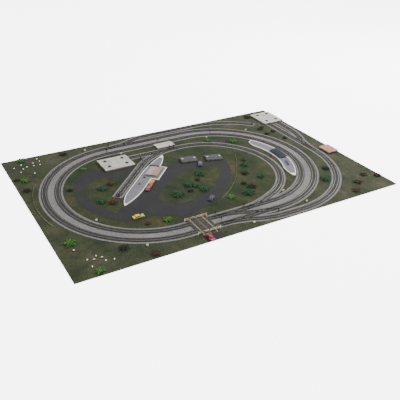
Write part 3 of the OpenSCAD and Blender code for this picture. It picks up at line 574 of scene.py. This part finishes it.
# %% Rail joiners
# A folded clip of sheet metal slides over each pair of rail ends.
joiner = join(block((-6, -1.5, 0.1), (6, -0.45, 0.9)), block((-6, 0.45, 0.1), (6, 1.5, 0.9)))
starts = np.concatenate([along(run, [0.0], y) for run in oval + branches for y in (-RAIL_Y, RAIL_Y)])
piece("rail_joiners", placed(joiner, starts, SLEEPER_TOP), steel, slot="nickel_silver")

# %% [markdown]
# # Level crossing
# The deck is made of weathered boards, laid along the track, with green moss and rust stains. The gates
# are white moulded fences between white posts.

# %% Crossing boards and gates
boards, tree, shader, place = new_material("weathered crossing boards", 0.85)
planks = add(tree, "ShaderNodeTexBrick", {"Vector": place, "Scale": 1.0, "Color1": linear("#20231c"),
             "Color2": linear("#2f2a1c"), "Mortar": linear("#141310"), "Mortar Size": 0.8 * MM,
             "Brick Width": 53 * MM, "Row Height": 7 * MM, "Bias": -0.2})
stain = add(tree, "ShaderNodeTexNoise", {"Vector": place, "Scale": 1000 / 14, "Detail": 4.0})
hues = add(tree, "ShaderNodeValToRGB", {"Fac": stain.outputs["Fac"]},
           [[0.36, "#08231b"], [0.46, "#171c17"], [0.54, "#2b2216"], [0.64, "#70401c"]])
worn = add(tree, "ShaderNodeMix", {"Factor": 0.6, 6: planks.outputs["Color"], 7: hues.outputs["Color"]},
           data_type="RGBA")
# pale green lines along the road: one down the middle and one at each side
ROAD_X, DECK_HALF = sum(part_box("crossing_deck")[i].x for i in (0, 1)) / 2, 0.053
across = add(tree, "ShaderNodeSeparateXYZ", {0: place})
offset = add(tree, "ShaderNodeMath", {0: across.outputs["X"], 1: ROAD_X}, operation="SUBTRACT")
distance = add(tree, "ShaderNodeMath", {0: offset.outputs[0]}, operation="ABSOLUTE")
share = add(tree, "ShaderNodeMath", {0: distance.outputs[0], 1: DECK_HALF}, operation="DIVIDE")
lines = add(tree, "ShaderNodeValToRGB", {"Fac": share.outputs[0]},
            [[0.0, "#ffffff"], [0.03, "#000000"], [0.6, "#000000"], [0.63, "#ffffff"], [0.68, "#ffffff"],
             [0.71, "#000000"]])
lined = add(tree, "ShaderNodeMix", {"Factor": lines.outputs["Color"], 6: worn.outputs[2],
            7: linear("#7f8c6c")}, data_type="RGBA")
grained(tree, shader, place, lined.outputs[2], 4, 0.35, 0.2)
dress("crossing_deck", boards)

white_plastic = mottled("white moulded styrene", [[0.3, "#8d7d60"], [0.6, "#cbbd9c"]], 12, 1.5, 0.04,
                        0.03, 0.45)
dress("gate_posts", white_plastic)
for i in range(1, 5):
    eased(f"crossing_gate_{i}", f"gate_{i}", white_plastic, 0.2, f"gate_{i}_body")

# %% [markdown]
# # Lineside pieces
# Signals, ground signals and the water crane are black painted castings. Painted metal is not pure
# black: it picks up dust, which shows as a soft grey mottle.

# %% Lineside finishes
black_paint = mottled("satin black paint", [[0.4, "#0c0d0d"], [0.7, "#1a1a17"]], 9, 1, 0.12, 0.02, 0.6)
for node in ("signal_posts", "ground_signals", "water_crane_column", "water_crane_arm"):
    dress(node, black_paint)
# the shelters are black on the bay platform and dark teal on the island platform, which is at x > 0.4 m
shelter_paint, tree, shader, place = new_material("shelter paint", 0.45)
along_board = add(tree, "ShaderNodeSeparateXYZ", {0: place})
island = add(tree, "ShaderNodeMath", {0: along_board.outputs["X"], 1: 0.4}, operation="GREATER_THAN")
paints = add(tree, "ShaderNodeValToRGB", {"Fac": island.outputs[0]}, [[0.0, "#141414"], [1.0, "#0a242e"]])
grained(tree, shader, place, paints.outputs["Color"], 9, 0.15, 0.02)
dress("platform_shelters", shelter_paint)
for i in range(1, 4):
    dress(f"signal_arm_{i}", black_paint)
eased("cabinets", "lineside_cabinets", white_plastic, 0.5)
rust_red = mottled("weathered buffer iron", [[0.35, "#1b1715"], [0.65, "#352722"]], 7, 1, 0.1, 0.05, 0.8)
eased("buffers", "buffer_stops", rust_red, 0.3)

# %% [markdown]
# # Fences
# A post-and-rail fence runs outside the oval and round the inner scenery. Posts stand every 24 mm, with
# two rails carried along the same arc, so a fence is a handful of long thin tubes and many small boxes.

# %% Fences
FENCE_Z, FENCE_H = box_mm("fences")[0][2], np.diff(np.array(box_mm("fences"))[:, 2])[0]
weathered = mottled("weathered timber", [[0.35, "#5a5644"], [0.65, "#8a8468"]], 20, 2, 0.12, 0.05, 0.9)
ring = [LEFT_X, OVAL_Y]
fence_arcs = [(ring, 560.6, 151, 197), ([-397, 348], 754.6, -60, -29)]
fence_runs = [[[c[0] + r * math.cos(math.radians(a)), c[1] + r * math.sin(math.radians(a)), a + 90],
               r, b - a, 1] for c, r, a, b in fence_arcs]
fence_runs += straight([272, -10, 60], 190) + straight([-59, 394, -78], 31)


def fence(run):
    """Posts every 24 mm and two rails, all under the fence's height."""
    post = block((-0.8, -0.6, 0), (0.8, 0.6, FENCE_H))
    count = max(2, round(run_length(run) / 24))
    posts = placed(post, along(run, np.linspace(0.8, run_length(run) - 0.8, count)))
    s = np.linspace(0.4, run_length(run) - 0.4, 40 if run[1] else 2)
    rails = []
    for z in (FENCE_H * 0.35, FENCE_H * 0.75):
        side = [along(run, s, y)[:, :2] for y in (-0.35, 0.35)]
        rings = [np.column_stack([side[i], np.full(len(s), z + dz)])
                 for i, dz in ((0, -0.5), (1, -0.5), (1, 0.5), (0, 0.5))]
        rails.append(tube(np.stack(rings, axis=1)[:, ::-1]))
    return join(posts, *rails)


fence_verts, fence_faces = join(*[fence(run) for run in fence_runs])
piece("post_and_rail_fences", (fence_verts + [0, 0, FENCE_Z], fence_faces), weathered,
      slot="weathered_fence", stands_for=["fences"])

# %% [markdown]
# # Platforms
# The platforms are paved in square slabs with a white painted edge. Slabs are drawn 12 mm across. The
# paint is worn, so it is mixed with the grey under it along a fine noise.

# %% Platform finishes
paving, tree, shader, place = new_material("platform paving", 0.85)
turn = add(tree, "ShaderNodeMapping", {"Vector": place, "Rotation": (0, 0, math.radians(-45))})
slabs = add(tree, "ShaderNodeTexBrick", {"Vector": turn.outputs[0], "Scale": 1.0,
            "Color1": linear("#636266"), "Color2": linear("#727077"), "Mortar": linear("#434245"),
            "Mortar Size": 0.5 * MM, "Brick Width": 12 * MM, "Row Height": 12 * MM})
grained(tree, shader, place, slabs.outputs["Color"], 5, 0.1, 0.1)
dress("platform_slabs", paving)
edge_paint = mottled("worn white edge paint", [[0.3, "#c4c2ba"], [0.5, "#e8e6de"], [0.8, "#f4f2ec"]], 8, 1.5,
                     0.05, 0.05, 0.6)
dress("platform_edging", edge_paint)

# %% [markdown]
# # Roofs
# Every roof is one sheet: a height for each point of a grid. The slope comes from the distance to the
# ridge; on it lie courses of tiles, each a saw-tooth step down the slope, or the waves of corrugated
# sheet. Working out heights as arrays makes both the same few lines.

# %% Roof shapes
def pitched(l, w, rise, eaves, pattern, pitch, fine):
    """A pitched roof on l x w, ridge along x: height = eaves + rise (1 - |y| / (w / 2)) + pattern. Tiles
    step up by fine over each course of that pitch; waves are cosines of that pitch along the ridge."""
    x = np.linspace(-l / 2, l / 2, int(l / pitch) * (6 if pattern == "waves" else 2) + 1)
    y = np.linspace(-w / 2, w / 2, 2 * int(w / pitch) * 3 + 1)
    gx, gy = np.meshgrid(x, y, indexing="ij")
    slope = 1 - np.abs(gy) / (w / 2)
    if pattern == "waves":
        extra = fine * (0.5 + 0.5 * np.cos(gx * 2 * np.pi / pitch))
    else:
        course = (w / 2 - np.abs(gy)) / pitch
        extra = fine * (1 - course % 1) + 0.12 * ((gx / pitch + np.floor(course) * 0.5) % 1 < 0.5)
    extra = extra * np.clip((1 - slope) * 12, 0, 1)
    return relief(gx, gy, eaves + rise * slope + extra - fine, 0.0)


def roof_height(node):
    low, high = box_mm(node)
    return low[2], high[2] - low[2] - 1.0


EAVES = 1.0
STATION, BAY_ANGLE = [-65, 215], 45
turn_bay = math.radians(BAY_ANGLE)
STATION_POSE = [STATION[0] * math.cos(turn_bay) - STATION[1] * math.sin(turn_bay),
                STATION[0] * math.sin(turn_bay) + STATION[1] * math.cos(turn_bay), BAY_ANGLE]
HOUSES = [[48, 154, -12], [190, 112, -16]]

# %% Tiled and corrugated roofs
station_tiles, tree, shader, place = new_material("clay roof tiles", 0.8)
turn = add(tree, "ShaderNodeMapping", {"Vector": place, "Rotation": (0, 0, -turn_bay)})
across = add(tree, "ShaderNodeSeparateXYZ", {0: turn.outputs[0]})
# the two slopes of the one tiled roof get different colours, one pinker and darker, one paler and greyer:
# painted light and shade on the two slopes
side = add(tree, "ShaderNodeMapRange", {"Value": across.outputs["Y"], "From Min": (STATION[1] - 0.5) * MM,
           "From Max": (STATION[1] + 0.5) * MM})
slope_light_and_shade = add(tree, "ShaderNodeValToRGB", {"Fac": side.outputs["Result"]}, [[0.0, "#94745f"], [1.0, "#958b88"]])
grained(tree, shader, place, slope_light_and_shade.outputs["Color"], 5, 0.16, 0.1)
z, rise = roof_height("station_roof")
piece("station_roof_tiles", placed(pitched(98, 68, rise, EAVES, "tiles", 4.5, 0.35), [STATION_POSE], z),
      station_tiles, slot="roof_pink", stands_for=["station_roof"])

slate = mottled("grey slate", [[0.35, "#232426"], [0.65, "#37393b"]], 16, 4, 0.14, 0.08, 0.55)
z, rise = roof_height("house_roofs")
piece("house_roof_slates", placed(pitched(95, 63, rise, EAVES, "tiles", 5, 0.35), HOUSES, z), slate,
      slot="slate_grey", stands_for=["house_roofs"])

pale_sheet = mottled("whitewashed corrugated sheet", [[0.3, "#8f8b82"], [0.5, "#aaa69c"], [0.75, "#b8b3a9"]],
                     30, 5, 0.08, 0.05, 0.6)
z, rise = roof_height("shed_roofs")
SHED_1, SHED_1_SIZE = [-340, 298.5], [176, 139]
SHED_2, SHED_2_SIZE = [832, 461.5], [171, 150]
bays = []
for (x, y), (l, w), heading in ((SHED_1, SHED_1_SIZE, 0), (SHED_2, SHED_2_SIZE, 90)):
    bay_roof = pitched(l, w / 2 - 0.4, rise, EAVES, "waves", 6, 0.5)
    for s in (-1, 1):
        shifted = bay_roof[0] + [0, s * w / 4, 0], bay_roof[1]
        bays.append(placed(shifted, [[x, y, heading]], z))
piece("shed_roof_sheets", join(*bays), pale_sheet, slot="shed_roof_white", stands_for=["shed_roofs"])

z, rise = roof_height("signal_box_roof")
piece("signal_box_roof_sheet", placed(pitched(114, 62, rise, EAVES, "tiles", 6, 0.4), [[13, 387, 0]], z),
      pale_sheet, slot="shed_roof_white", stands_for=["signal_box_roof"])

salmon = mottled("salmon painted sheet", [[0.3, "#86573f"], [0.55, "#a87355"], [0.8, "#b48468"]], 24, 4,
                 0.08, 0.05, 0.7)
z, rise = roof_height("depot_roof")
piece("depot_roof_sheet", placed(pitched(94, 74, rise, EAVES, "waves", 6, 0.4), [[872, -105, 90]], z), salmon,
      slot="depot_salmon", stands_for=["depot_roof"])

# %% [markdown]
# # Walls, windows and roof fittings
# The walls are cast blocks with shallow window recesses. Each recess gets a pane of dark glass behind a white
# frame with one bar. The sheds' round smoke vents are turned shapes.

# %% Walls
render_finish = mottled("cement render", [[0.35, "#75695a"], [0.65, "#8d8171"]], 25, 2.5, 0.08, 0.05, 0.9)
for node in ("station_walls", "shed_walls", "signal_box_walls"):
    dress(node, render_finish)
brick, tree, shader, place = new_material("dull house brick", 0.9)
bricks = add(tree, "ShaderNodeTexBrick", {"Vector": place, "Scale": 1.0, "Color1": linear("#4b3a30"),
             "Color2": linear("#5c4d42"), "Mortar": linear("#6d665c"), "Mortar Size": 0.15 * MM,
             "Brick Width": 3 * MM, "Row Height": 1.2 * MM})
grained(tree, shader, place, bricks.outputs["Color"], 2, 0.1, 0.05)
for node in ("house_walls", "depot_walls"):
    dress(node, brick)
chimney_paint = mottled("pale chimney render", [[0.35, "#aaa59a"], [0.65, "#d6d2c6"]], 5, 1, 0.06, 0.03, 0.85)
dress("chimneys", chimney_paint)

# %% Windows
glass = mottled("dark window glass", [[0.35, "#10161b"], [0.65, "#26313a"]], 15, 4, 0.05, 0.0, 0.12)


def windows(l, w, h, count):
    """Panes and frames in the recesses along both long sides of a wall block l x w x h."""
    pane_w, pane_h, z0 = l / count * 0.45, h * 0.45, h * 0.3
    panes, frames = [], []
    for side in (-1, 1):
        y0, y1 = sorted((side * (w / 2 - 0.6), side * (w / 2 - 0.5)))
        f0, f1 = sorted((side * (w / 2 - 0.5), side * (w / 2 - 0.15)))
        for i in range(count):
            x0 = (i + 0.5) * l / count - l / 2 - pane_w / 2
            panes.append(block((x0, y0, z0), (x0 + pane_w, y1, z0 + pane_h)))
            for a, b, c, d in ((0, 0.5, 0, pane_h), (pane_w - 0.5, pane_w, 0, pane_h),
                               (0.5, pane_w - 0.5, 0, 0.5), (0.5, pane_w - 0.5, pane_h - 0.5, pane_h),
                               (pane_w / 2 - 0.25, pane_w / 2 + 0.25, 0.5, pane_h - 0.5)):
                frames.append(block((x0 + a, f0, z0 + c), (x0 + b, f1, z0 + d)))
    return join(*panes), join(*frames)


BOARD_T = box_mm("scenic_board")[1][2]
PLATFORM_Z = box_mm("platform_slabs")[1][2]
all_panes, all_frames = [], []
for poses, l, w, count, node, z in (
        ([STATION_POSE], 92, 62, 5, "station_walls", PLATFORM_Z),
        ([[*SHED_1, 0]], SHED_1_SIZE[0] - 6, SHED_1_SIZE[1] - 6, 7, "shed_walls", BOARD_T),
        ([[*SHED_2, 90]], SHED_2_SIZE[0] - 6, SHED_2_SIZE[1] - 6, 7, "shed_walls", BOARD_T),
        ([[13, 386, 0]], 106, 48, 6, "signal_box_walls", BOARD_T),
        (HOUSES, 89, 57, 4, "house_walls", BOARD_T),
        ([[872, -105, 90]], 88, 68, 5, "depot_walls", BOARD_T)):
    panes, frames = windows(l, w, box_mm(node)[1][2] - z, count)
    all_panes.append(placed(panes, poses, z))
    all_frames.append(placed(frames, poses, z))
piece("window_panes", join(*all_panes), glass)
piece("window_frames", join(*all_frames), white_plastic)

# %% Vents
VENT_Z = box_mm("roof_vents")[1][2]
VENT_R = 10
cowl = turned([[VENT_R * share, z] for share, z in
               ((1, -4.2), (1, -1.2), (0.94, -0.5), (0.84, -0.1), (0.74, -0.4), (0.68, -1.4),
                (0.2, -1.8))], 20)
inside = np.hypot(cowl[0][:, 0], cowl[0][:, 1]) < 0.72 * VENT_R
vent_poses = [[SHED_1[0] + i * 0.3 * SHED_1_SIZE[0], SHED_1[1] + j * SHED_1_SIZE[1] / 4, 0]
              for i in (-1, 1) for j in (-1, 1)]
vent_poses += [[SHED_2[0] - j * SHED_2_SIZE[1] / 4, SHED_2[1] + i * 0.3 * SHED_2_SIZE[0], 0]
               for i in (-1, 1) for j in (-1, 1)]
vent_metal = tinted("painted vent metal", 0.6, 3, 0.1, 0.05)
# the hollow of each vent, inside 0.72 of its radius, is tinted near black: painted shade in the recess
tints = np.where(inside[:, None], linear("#0a0a0a"), linear("#33322f"))
piece("smoke_vents", placed(cowl, vent_poses, VENT_Z), vent_metal, slot="vent_grey",
      stands_for=["roof_vents"], tint=np.tile(tints, (len(vent_poses), 1)), smooth=40)

# %% [markdown]
# # Canopy
# The island platform's canopy is a curved glazed roof: dark blue-green panes between raised ribs, with
# paler panels at both ends. It is a grid in angle and radius round the platform's centre. The ribs are a
# narrow pulse of height every 2.2 degrees.

# %% Canopy
low, high = box_mm("platform_canopy")
ISLAND = np.array([RIGHT_X, OVAL_Y])
angle, radius = np.meshgrid(np.linspace(5.5, -12, 211), np.linspace(349, 401, 27), indexing="ij")
a = np.radians(angle)
rib = (np.abs((angle + 12) % 2.1875 - 1.09) > 0.93) | (np.abs(radius - 375) < 1.2)
top = high[2] - 0.9 + 0.6 * (1 - np.abs(radius - 375) / 26) + 0.25 * rib
canopy = relief(ISLAND[0] + radius * np.cos(a), ISLAND[1] + radius * np.sin(a), top, high[2] - 1.6)
ends = (np.degrees(np.arctan2(canopy[0][:, 1] - ISLAND[1], canopy[0][:, 0] - ISLAND[0])) + 3.25)
pale = np.clip((np.abs(ends) - 7.3) / 0.8, 0, 1)[:, None]
tints = np.where(pale > 0.5, linear("#1f3a46"), linear("#051821"))
glazing = tinted("canopy glazing", 0.5, 9, 0.15, 0.02, Specular_IOR_Level=0.15)
posts = placed(turned([[1.5, PLATFORM_Z], [1.5, high[2] - 1.7]], 12),
               [[*(ISLAND + 375 * np.array([math.cos(t), math.sin(t)])), 0]
                for t in np.radians([-10, -3, 4])])
piece("glazed_canopy", join(canopy, posts), glazing, slot="canopy_teal", stands_for=["platform_canopy"],
      tint=np.concatenate([tints, np.tile(linear("#2c3436"), (len(posts[0]), 1))]))

# %% [markdown]
# # Foliage
# Bushes and low trees are clumps of foam and flocked fibre. Each is a lumpy dome, covered in small leaf tufts
# that stand out at random angles. Real tufts are 1 mm; these are 4 mm so that they show. Every tuft has its
# own random tone of its clump's colour. On top of that it is made darker low in the clump and lighter near
# its top, which is painted shade and light, and the dome under the tufts is painted dark as shade inside the
# clump. All is kept as a tint, so one material serves them all.

# %% Foliage
BUSHES = {
    "#3f7a1c": [[-800, 571, 28], [-842, 333, 25], [-831, -329, 28], [-787, -574, 22], [-526, 316, 18],
                [427, 254, 26], [291, 334, 20], [-356, -354, 24], [35, -316, 22]],
    "#12552d": [[-519, 66, 25], [-571, -54, 25], [19, -25, 32], [-98, -104, 28], [-70, -130, 20],
                [-198, -171, 32], [-50, -180, 25], [140, -316, 34], [302, -41, 25], [302, -196, 22],
                [598, -384, 28]],
    "#16260f": [[-884, 354, 15], [-565, 543, 22], [-868, 220, 22], [-672, 127, 15], [190, -271, 25],
                [173, -221, 15], [244, -129, 22], [-635, -471, 24], [685, -290, 22], [727, 537, 25]],
    "#231a10": [[685, 333, 18], [710, 349, 16], [740, 266, 17], [680, 252, 17], [742, 149, 16],
                [-119, -162, 16], [-27, -75, 14]],
    "#4a2a14": [[-460, 91, 20], [-523, -91, 22], [-456, -341, 13], [-529, -571, 22], [331, 9, 15],
                [823, -441, 20], [731, -491, 22], [656, -558, 22], [885, -483, 20]],
}
core = turned([[0.9, 0.0], [0.86, 0.25], [0.72, 0.55], [0.45, 0.78], [0.14, 0.86]], 12)


def clump(x, y, r, code):
    """A core dome, and tufts in lobes that reach a quarter beyond r, to a height of 5 + 0.22 r."""
    r, h = 1.25 * r, 5 + 0.22 * r
    lumps = 1 + 0.1 * RANDOM.standard_normal((len(core[0]), 1))
    dome = core[0] * lumps.clip(0.8, 1.08) * [0.5 * r, 0.5 * r, 0.75 * h]
    n = int(r * r * 0.5) + 50
    around = RANDOM.random(n) * 2 * np.pi
    lobes = 0.74 + 0.26 * np.sin(RANDOM.integers(5, 9) * around + 6 * RANDOM.random())
    share = RANDOM.random(n) ** 0.6 * 0.97 * lobes
    z = h * (0.12 + 0.8 * np.sqrt(1 - share ** 2) * (0.6 + 0.4 * RANDOM.random(n)))
    middle = np.column_stack([share * r * np.cos(around), share * r * np.sin(around), z])
    outwards = np.column_stack([np.cos(around), np.sin(around), np.full(n, -0.2)])
    side = outwards + 0.45 * RANDOM.standard_normal((n, 3))
    side *= 3.2 / np.linalg.norm(side, axis=1, keepdims=True)
    other = np.cross(side, [0, 0, 1.0] + 0.5 * RANDOM.standard_normal((n, 3)))
    other *= 1.3 / np.linalg.norm(other, axis=1, keepdims=True)
    leaf = middle[:, None] + np.stack([side, other, -side, -other], axis=1)
    leaf[..., 2] = leaf[..., 2].clip(0.1, h)
    radius = np.hypot(leaf[..., 0], leaf[..., 1])
    leaf[..., :2] *= np.minimum(1, r / radius)[..., None]
    # a random tone times a height factor, from 0.5 at the ground to 1.3 at the top: painted shade low in the
    # clump and painted light on top
    shade = (0.3 + 1.3 * RANDOM.random((n, 1)) ** 2) * (0.5 + 0.8 * (z / h)[:, None])
    colour = np.array(linear(code))[:3] * shade
    # the dome under the tufts is tinted at 0.3 of the clump's colour: painted shade inside the clump
    tint = np.concatenate([np.tile(np.array(linear(code))[:3] * 0.3, (len(dome), 1)),
                           np.repeat(colour, 4, axis=0)])
    verts = np.concatenate([dome, leaf.reshape(-1, 3)]) + [x, y, BOARD_T]
    verts[:, :2] = verts[:, :2].clip([-909, -599], [909, 599])  # nothing hangs over the board's edge
    faces = np.concatenate([core[1], np.arange(n * 4).reshape(-1, 4) + len(dome)])
    return (verts, faces), np.column_stack([tint, np.ones(len(tint))])


flocked = tinted("flocked foliage", 0.85, 3, 0.2, 0.0, Subsurface_Weight=0.05)
clumps = [clump(x, y, r, code) for code, row in BUSHES.items() for x, y, r in row]
piece("foliage", join(*[shape for shape, _ in clumps]), flocked, slot="foliage", stands_for=["bushes"],
      tint=np.concatenate([tint for _, tint in clumps]))

# %% [markdown]
# # Sheep
# The flocks are tiny castings, 12 mm long. A fleece is a lumpy egg; the face and legs are small dark boxes.
# One sheep is made and placed at every pose.

# %% Sheep
SHEEP = [[-717, 554, 20], [-712, 520, 80], [-752, 511, 140], [-817, 516, 10], [-862, 493, 60],
         [-819, 464, 100], [-794, 479, 30], [-756, 479, 160], [-721, 476, 45], [-840, 431, 90],
         [-777, 389, 15], [-835, -387, 120], [-808, -479, 40], [-781, -489, 0], [-765, -470, 75],
         [-746, -489, 150], [-740, -519, 25], [-806, -533, 95], [-704, -527, 60]]
u, v = np.meshgrid(np.linspace(0.03, 0.97, 9) * np.pi, np.arange(10) * np.pi / 5, indexing="ij")
puff = 1 + 0.07 * np.sin(5 * v + 3 * u) * np.sin(4 * u)
egg = tube(np.stack([-5 * np.cos(u), 2.7 * puff * np.sin(u) * np.sin(v),
                     4.1 + 2.5 * puff * np.sin(u) * np.cos(v)], axis=2)[:, ::-1])
parts = [egg, block((4.4, -0.9, 4.2), (7.2, 0.9, 6.4))]
parts += [block((x, y, 0), (x + 0.8, y + 0.8, 3)) for x in (-3.4, 3) for y in (-1.3, 0.7)]
one_sheep = join(*parts)
wool = np.repeat([linear("#efece1"), linear("#3b3630")],
                 [len(egg[0]), len(one_sheep[0]) - len(egg[0])], axis=0)
fleece = tinted("painted fleece", 0.95, 1, 0.1, 0.15)
piece("flock_of_sheep", placed(one_sheep, SHEEP, BOARD_T), fleece, slot="fleece", stands_for=["sheep"],
      tint=np.tile(wool, (len(SHEEP), 1)), smooth=50)

# %% [markdown]
# # Cars
# The cars are die-cast metal in enamel worn to a satin: smooth and even, under a thin clear coat. Their
# CAD shells are kept, with eased edges; windows, lamps and bumpers are thin parts laid on them, and turned
# wheels replace the plain axles.

# %% Car finishes
def enamel(name, code, darker):
    """Satin enamel: an even colour under a thin clear coat, with a trace of dust."""
    return mottled(name, [[0.35, darker], [0.6, code]], 30, 4, 0.03, 0.0, 0.45, Coat_Weight=0.25,
                   Coat_Roughness=0.15)


yellow = enamel("yellow enamel", "#d0c01c", "#b5a314")
red = enamel("red enamel", "#84101f", "#660c16")
blue = enamel("blue enamel", "#081838", "#050f24")
rubber_and_metal = tinted("rubber and turned metal", 0.6, 1.5, 0.08, 0.02)

# %% [markdown]
# A wheel's outline is turned round the axle: hub, rim, then the rounded tyre. The same outline, mirrored,
# makes the other wheel, and the axle joins them.

# %% Wheels
CAR_L, CAR_W, WHEEL_R, AXLE_X = 58, 24, 4.2, 17
half_axle = np.array([[0.9, 0], [0.9, 8.3], [3.9, 8.3], [4.2, 8.8], [4.2, 10.8], [3.9, 11.3], [2.9, 11.3],
                      [2.7, 10.9], [0.8, 10.9], [0.5, 11.2]])
outline = np.concatenate([half_axle[:0:-1] * [1, -1], half_axle[1:]])
wheels = turned(outline, 20)
wheels = wheels[0][:, [0, 2, 1]] * [1, -1, 1], wheels[1]
radius = np.hypot(wheels[0][:, 0], wheels[0][:, 2])
tyre = np.where((radius > 2.8)[:, None], linear("#1c1c1c"), linear("#a9a9a6"))


def wheelset(name, pose, x, z, **kw):
    """Two wheels and their axle, x in front of the middle of a car at that pose."""
    piece(name, placed(wheels, [go(pose, x)], z), rubber_and_metal, slot="tyre_black", tint=tyre,
          smooth=35, **kw)


# %% Car glass and trim
def car_glass():
    """Six panes a hair outside the cabin's faces, each with corners at the cabin's pillars. Heights are
    over the road; the cabin runs from x = 8 and 42 at the belt to 13 and 33 at the roof."""
    belt, roof, half = 7.4, 12.4, (CAR_W - 7) / 2 + 0.05
    low, high = 0.12, 0.9

    def at_height(t):
        rear, front = 8.9 + (12.6 - 8.9) * t, 41.1 + (33.6 - 41.1) * t
        return belt + (roof - belt) * t, rear - CAR_L / 2, front - CAR_L / 2

    z0, r0, f0 = at_height(low)
    z1, r1, f1 = at_height(high)
    mid0, mid1 = (r0 + f0) / 2, (r1 + f1) / 2
    quads = []
    for s in (-1, 1):
        for a0, a1, b0, b1 in ((r0 + 1.6, r1 + 1.2, mid0 - 0.5, mid1 - 0.5),
                               (mid0 + 0.5, mid1 + 0.5, f0 - 1.6, f1 - 1.2)):
            quad = [[a0, s * half, z0], [b0, s * half, z0], [b1, s * half, z1], [a1, s * half, z1]]
            quads.append(quad if s < 0 else quad[::-1])
    wide = half - 1.2
    for a, b, out, w in ((f0, f1, 0.35, wide), (r0, r1, -0.35, -wide)):
        quads.append([[a + out, -w, z0], [a + out, w, z0], [b + out, w, z1], [b + out, -w, z1]])
    quads = np.array(quads)
    normals = np.cross(quads[:, 1] - quads[:, 0], quads[:, 3] - quads[:, 0])
    normals /= np.linalg.norm(normals, axis=1, keepdims=True)
    rings = np.stack([quads - 0.3 * normals[:, None], quads], axis=1)
    return join(*[tube(ring) for ring in rings])


panes = car_glass()
trim = join(block((-CAR_L / 2, -10.4, 3.0), (-CAR_L / 2 + 0.8, 10.4, 4.2)),
            block((CAR_L / 2 - 0.8, -10.4, 3.0), (CAR_L / 2, 10.4, 4.2)))
lamps = join(*[block((CAR_L / 2 - 0.5, s * 8 - 1.3, 4.6), (CAR_L / 2, s * 8 + 1.3, 6.2)) for s in (-1, 1)],
             *[block((-CAR_L / 2, s * 8 - 1.3, 4.6), (-CAR_L / 2 + 0.4, s * 8 + 1.3, 6.0)) for s in (-1, 1)])

# %% The cars
CAR_Z = BOARD_T + 0.4
DRIVEN = {"yellow": ([-469, -269, 0], yellow), "red": ([-255, -571, 90], red),
          "blue": ([-65, -279, 40], blue)}
PARKED = [[-303, -42, 50], [-262, 5, 47], [82, 78, 60]]
for name, (pose, paint) in DRIVEN.items():
    eased(f"{name}_car_body", f"{name}_car", paint, 0.7)
    for i, x in ((1, AXLE_X), (2, -AXLE_X)):
        wheelset(f"{name}_wheels_{i}_piece", pose, x, CAR_Z + WHEEL_R, body=f"{name}_axle_{i}",
                 stands_for=[f"{name}_car_axle_{i}"])
poses = [pose for pose, _ in DRIVEN.values()] + PARKED
piece("car_windows", placed(panes, poses, CAR_Z), glass)
chrome = mottled("bright trim", [[0.35, "#b8b8b4"], [0.65, "#d6d6d2"]], 5, 1, 0.04, 0.0, 0.2, Metallic=0.9)
piece("car_bumpers", placed(trim, poses, CAR_Z), chrome)
piece("car_lamps", placed(lamps, poses, CAR_Z), chrome)

# %% Parked cars
# The three parked cars are one CAD part, so their paint follows the place on the board.
parked, tree, shader, place = new_material("parked car enamel", 0.3, Coat_Weight=0.8, Coat_Roughness=0.06)
parts = add(tree, "ShaderNodeSeparateXYZ", {0: place})
which = add(tree, "ShaderNodeMapRange", {"Value": parts.outputs["X"], "From Min": -0.4, "From Max": 0.2})
paints = add(tree, "ShaderNodeValToRGB", {"Fac": which.outputs["Result"]},
             [[0.0, "#7a1d12"], [0.197, "#b8751c"], [0.6, "#081836"]])
paints.color_ramp.interpolation = "CONSTANT"
grained(tree, shader, place, paints.outputs["Color"], 4, 0.03, 0.0)
eased("parked_car_bodies", "parked_cars", parked, 0.5)
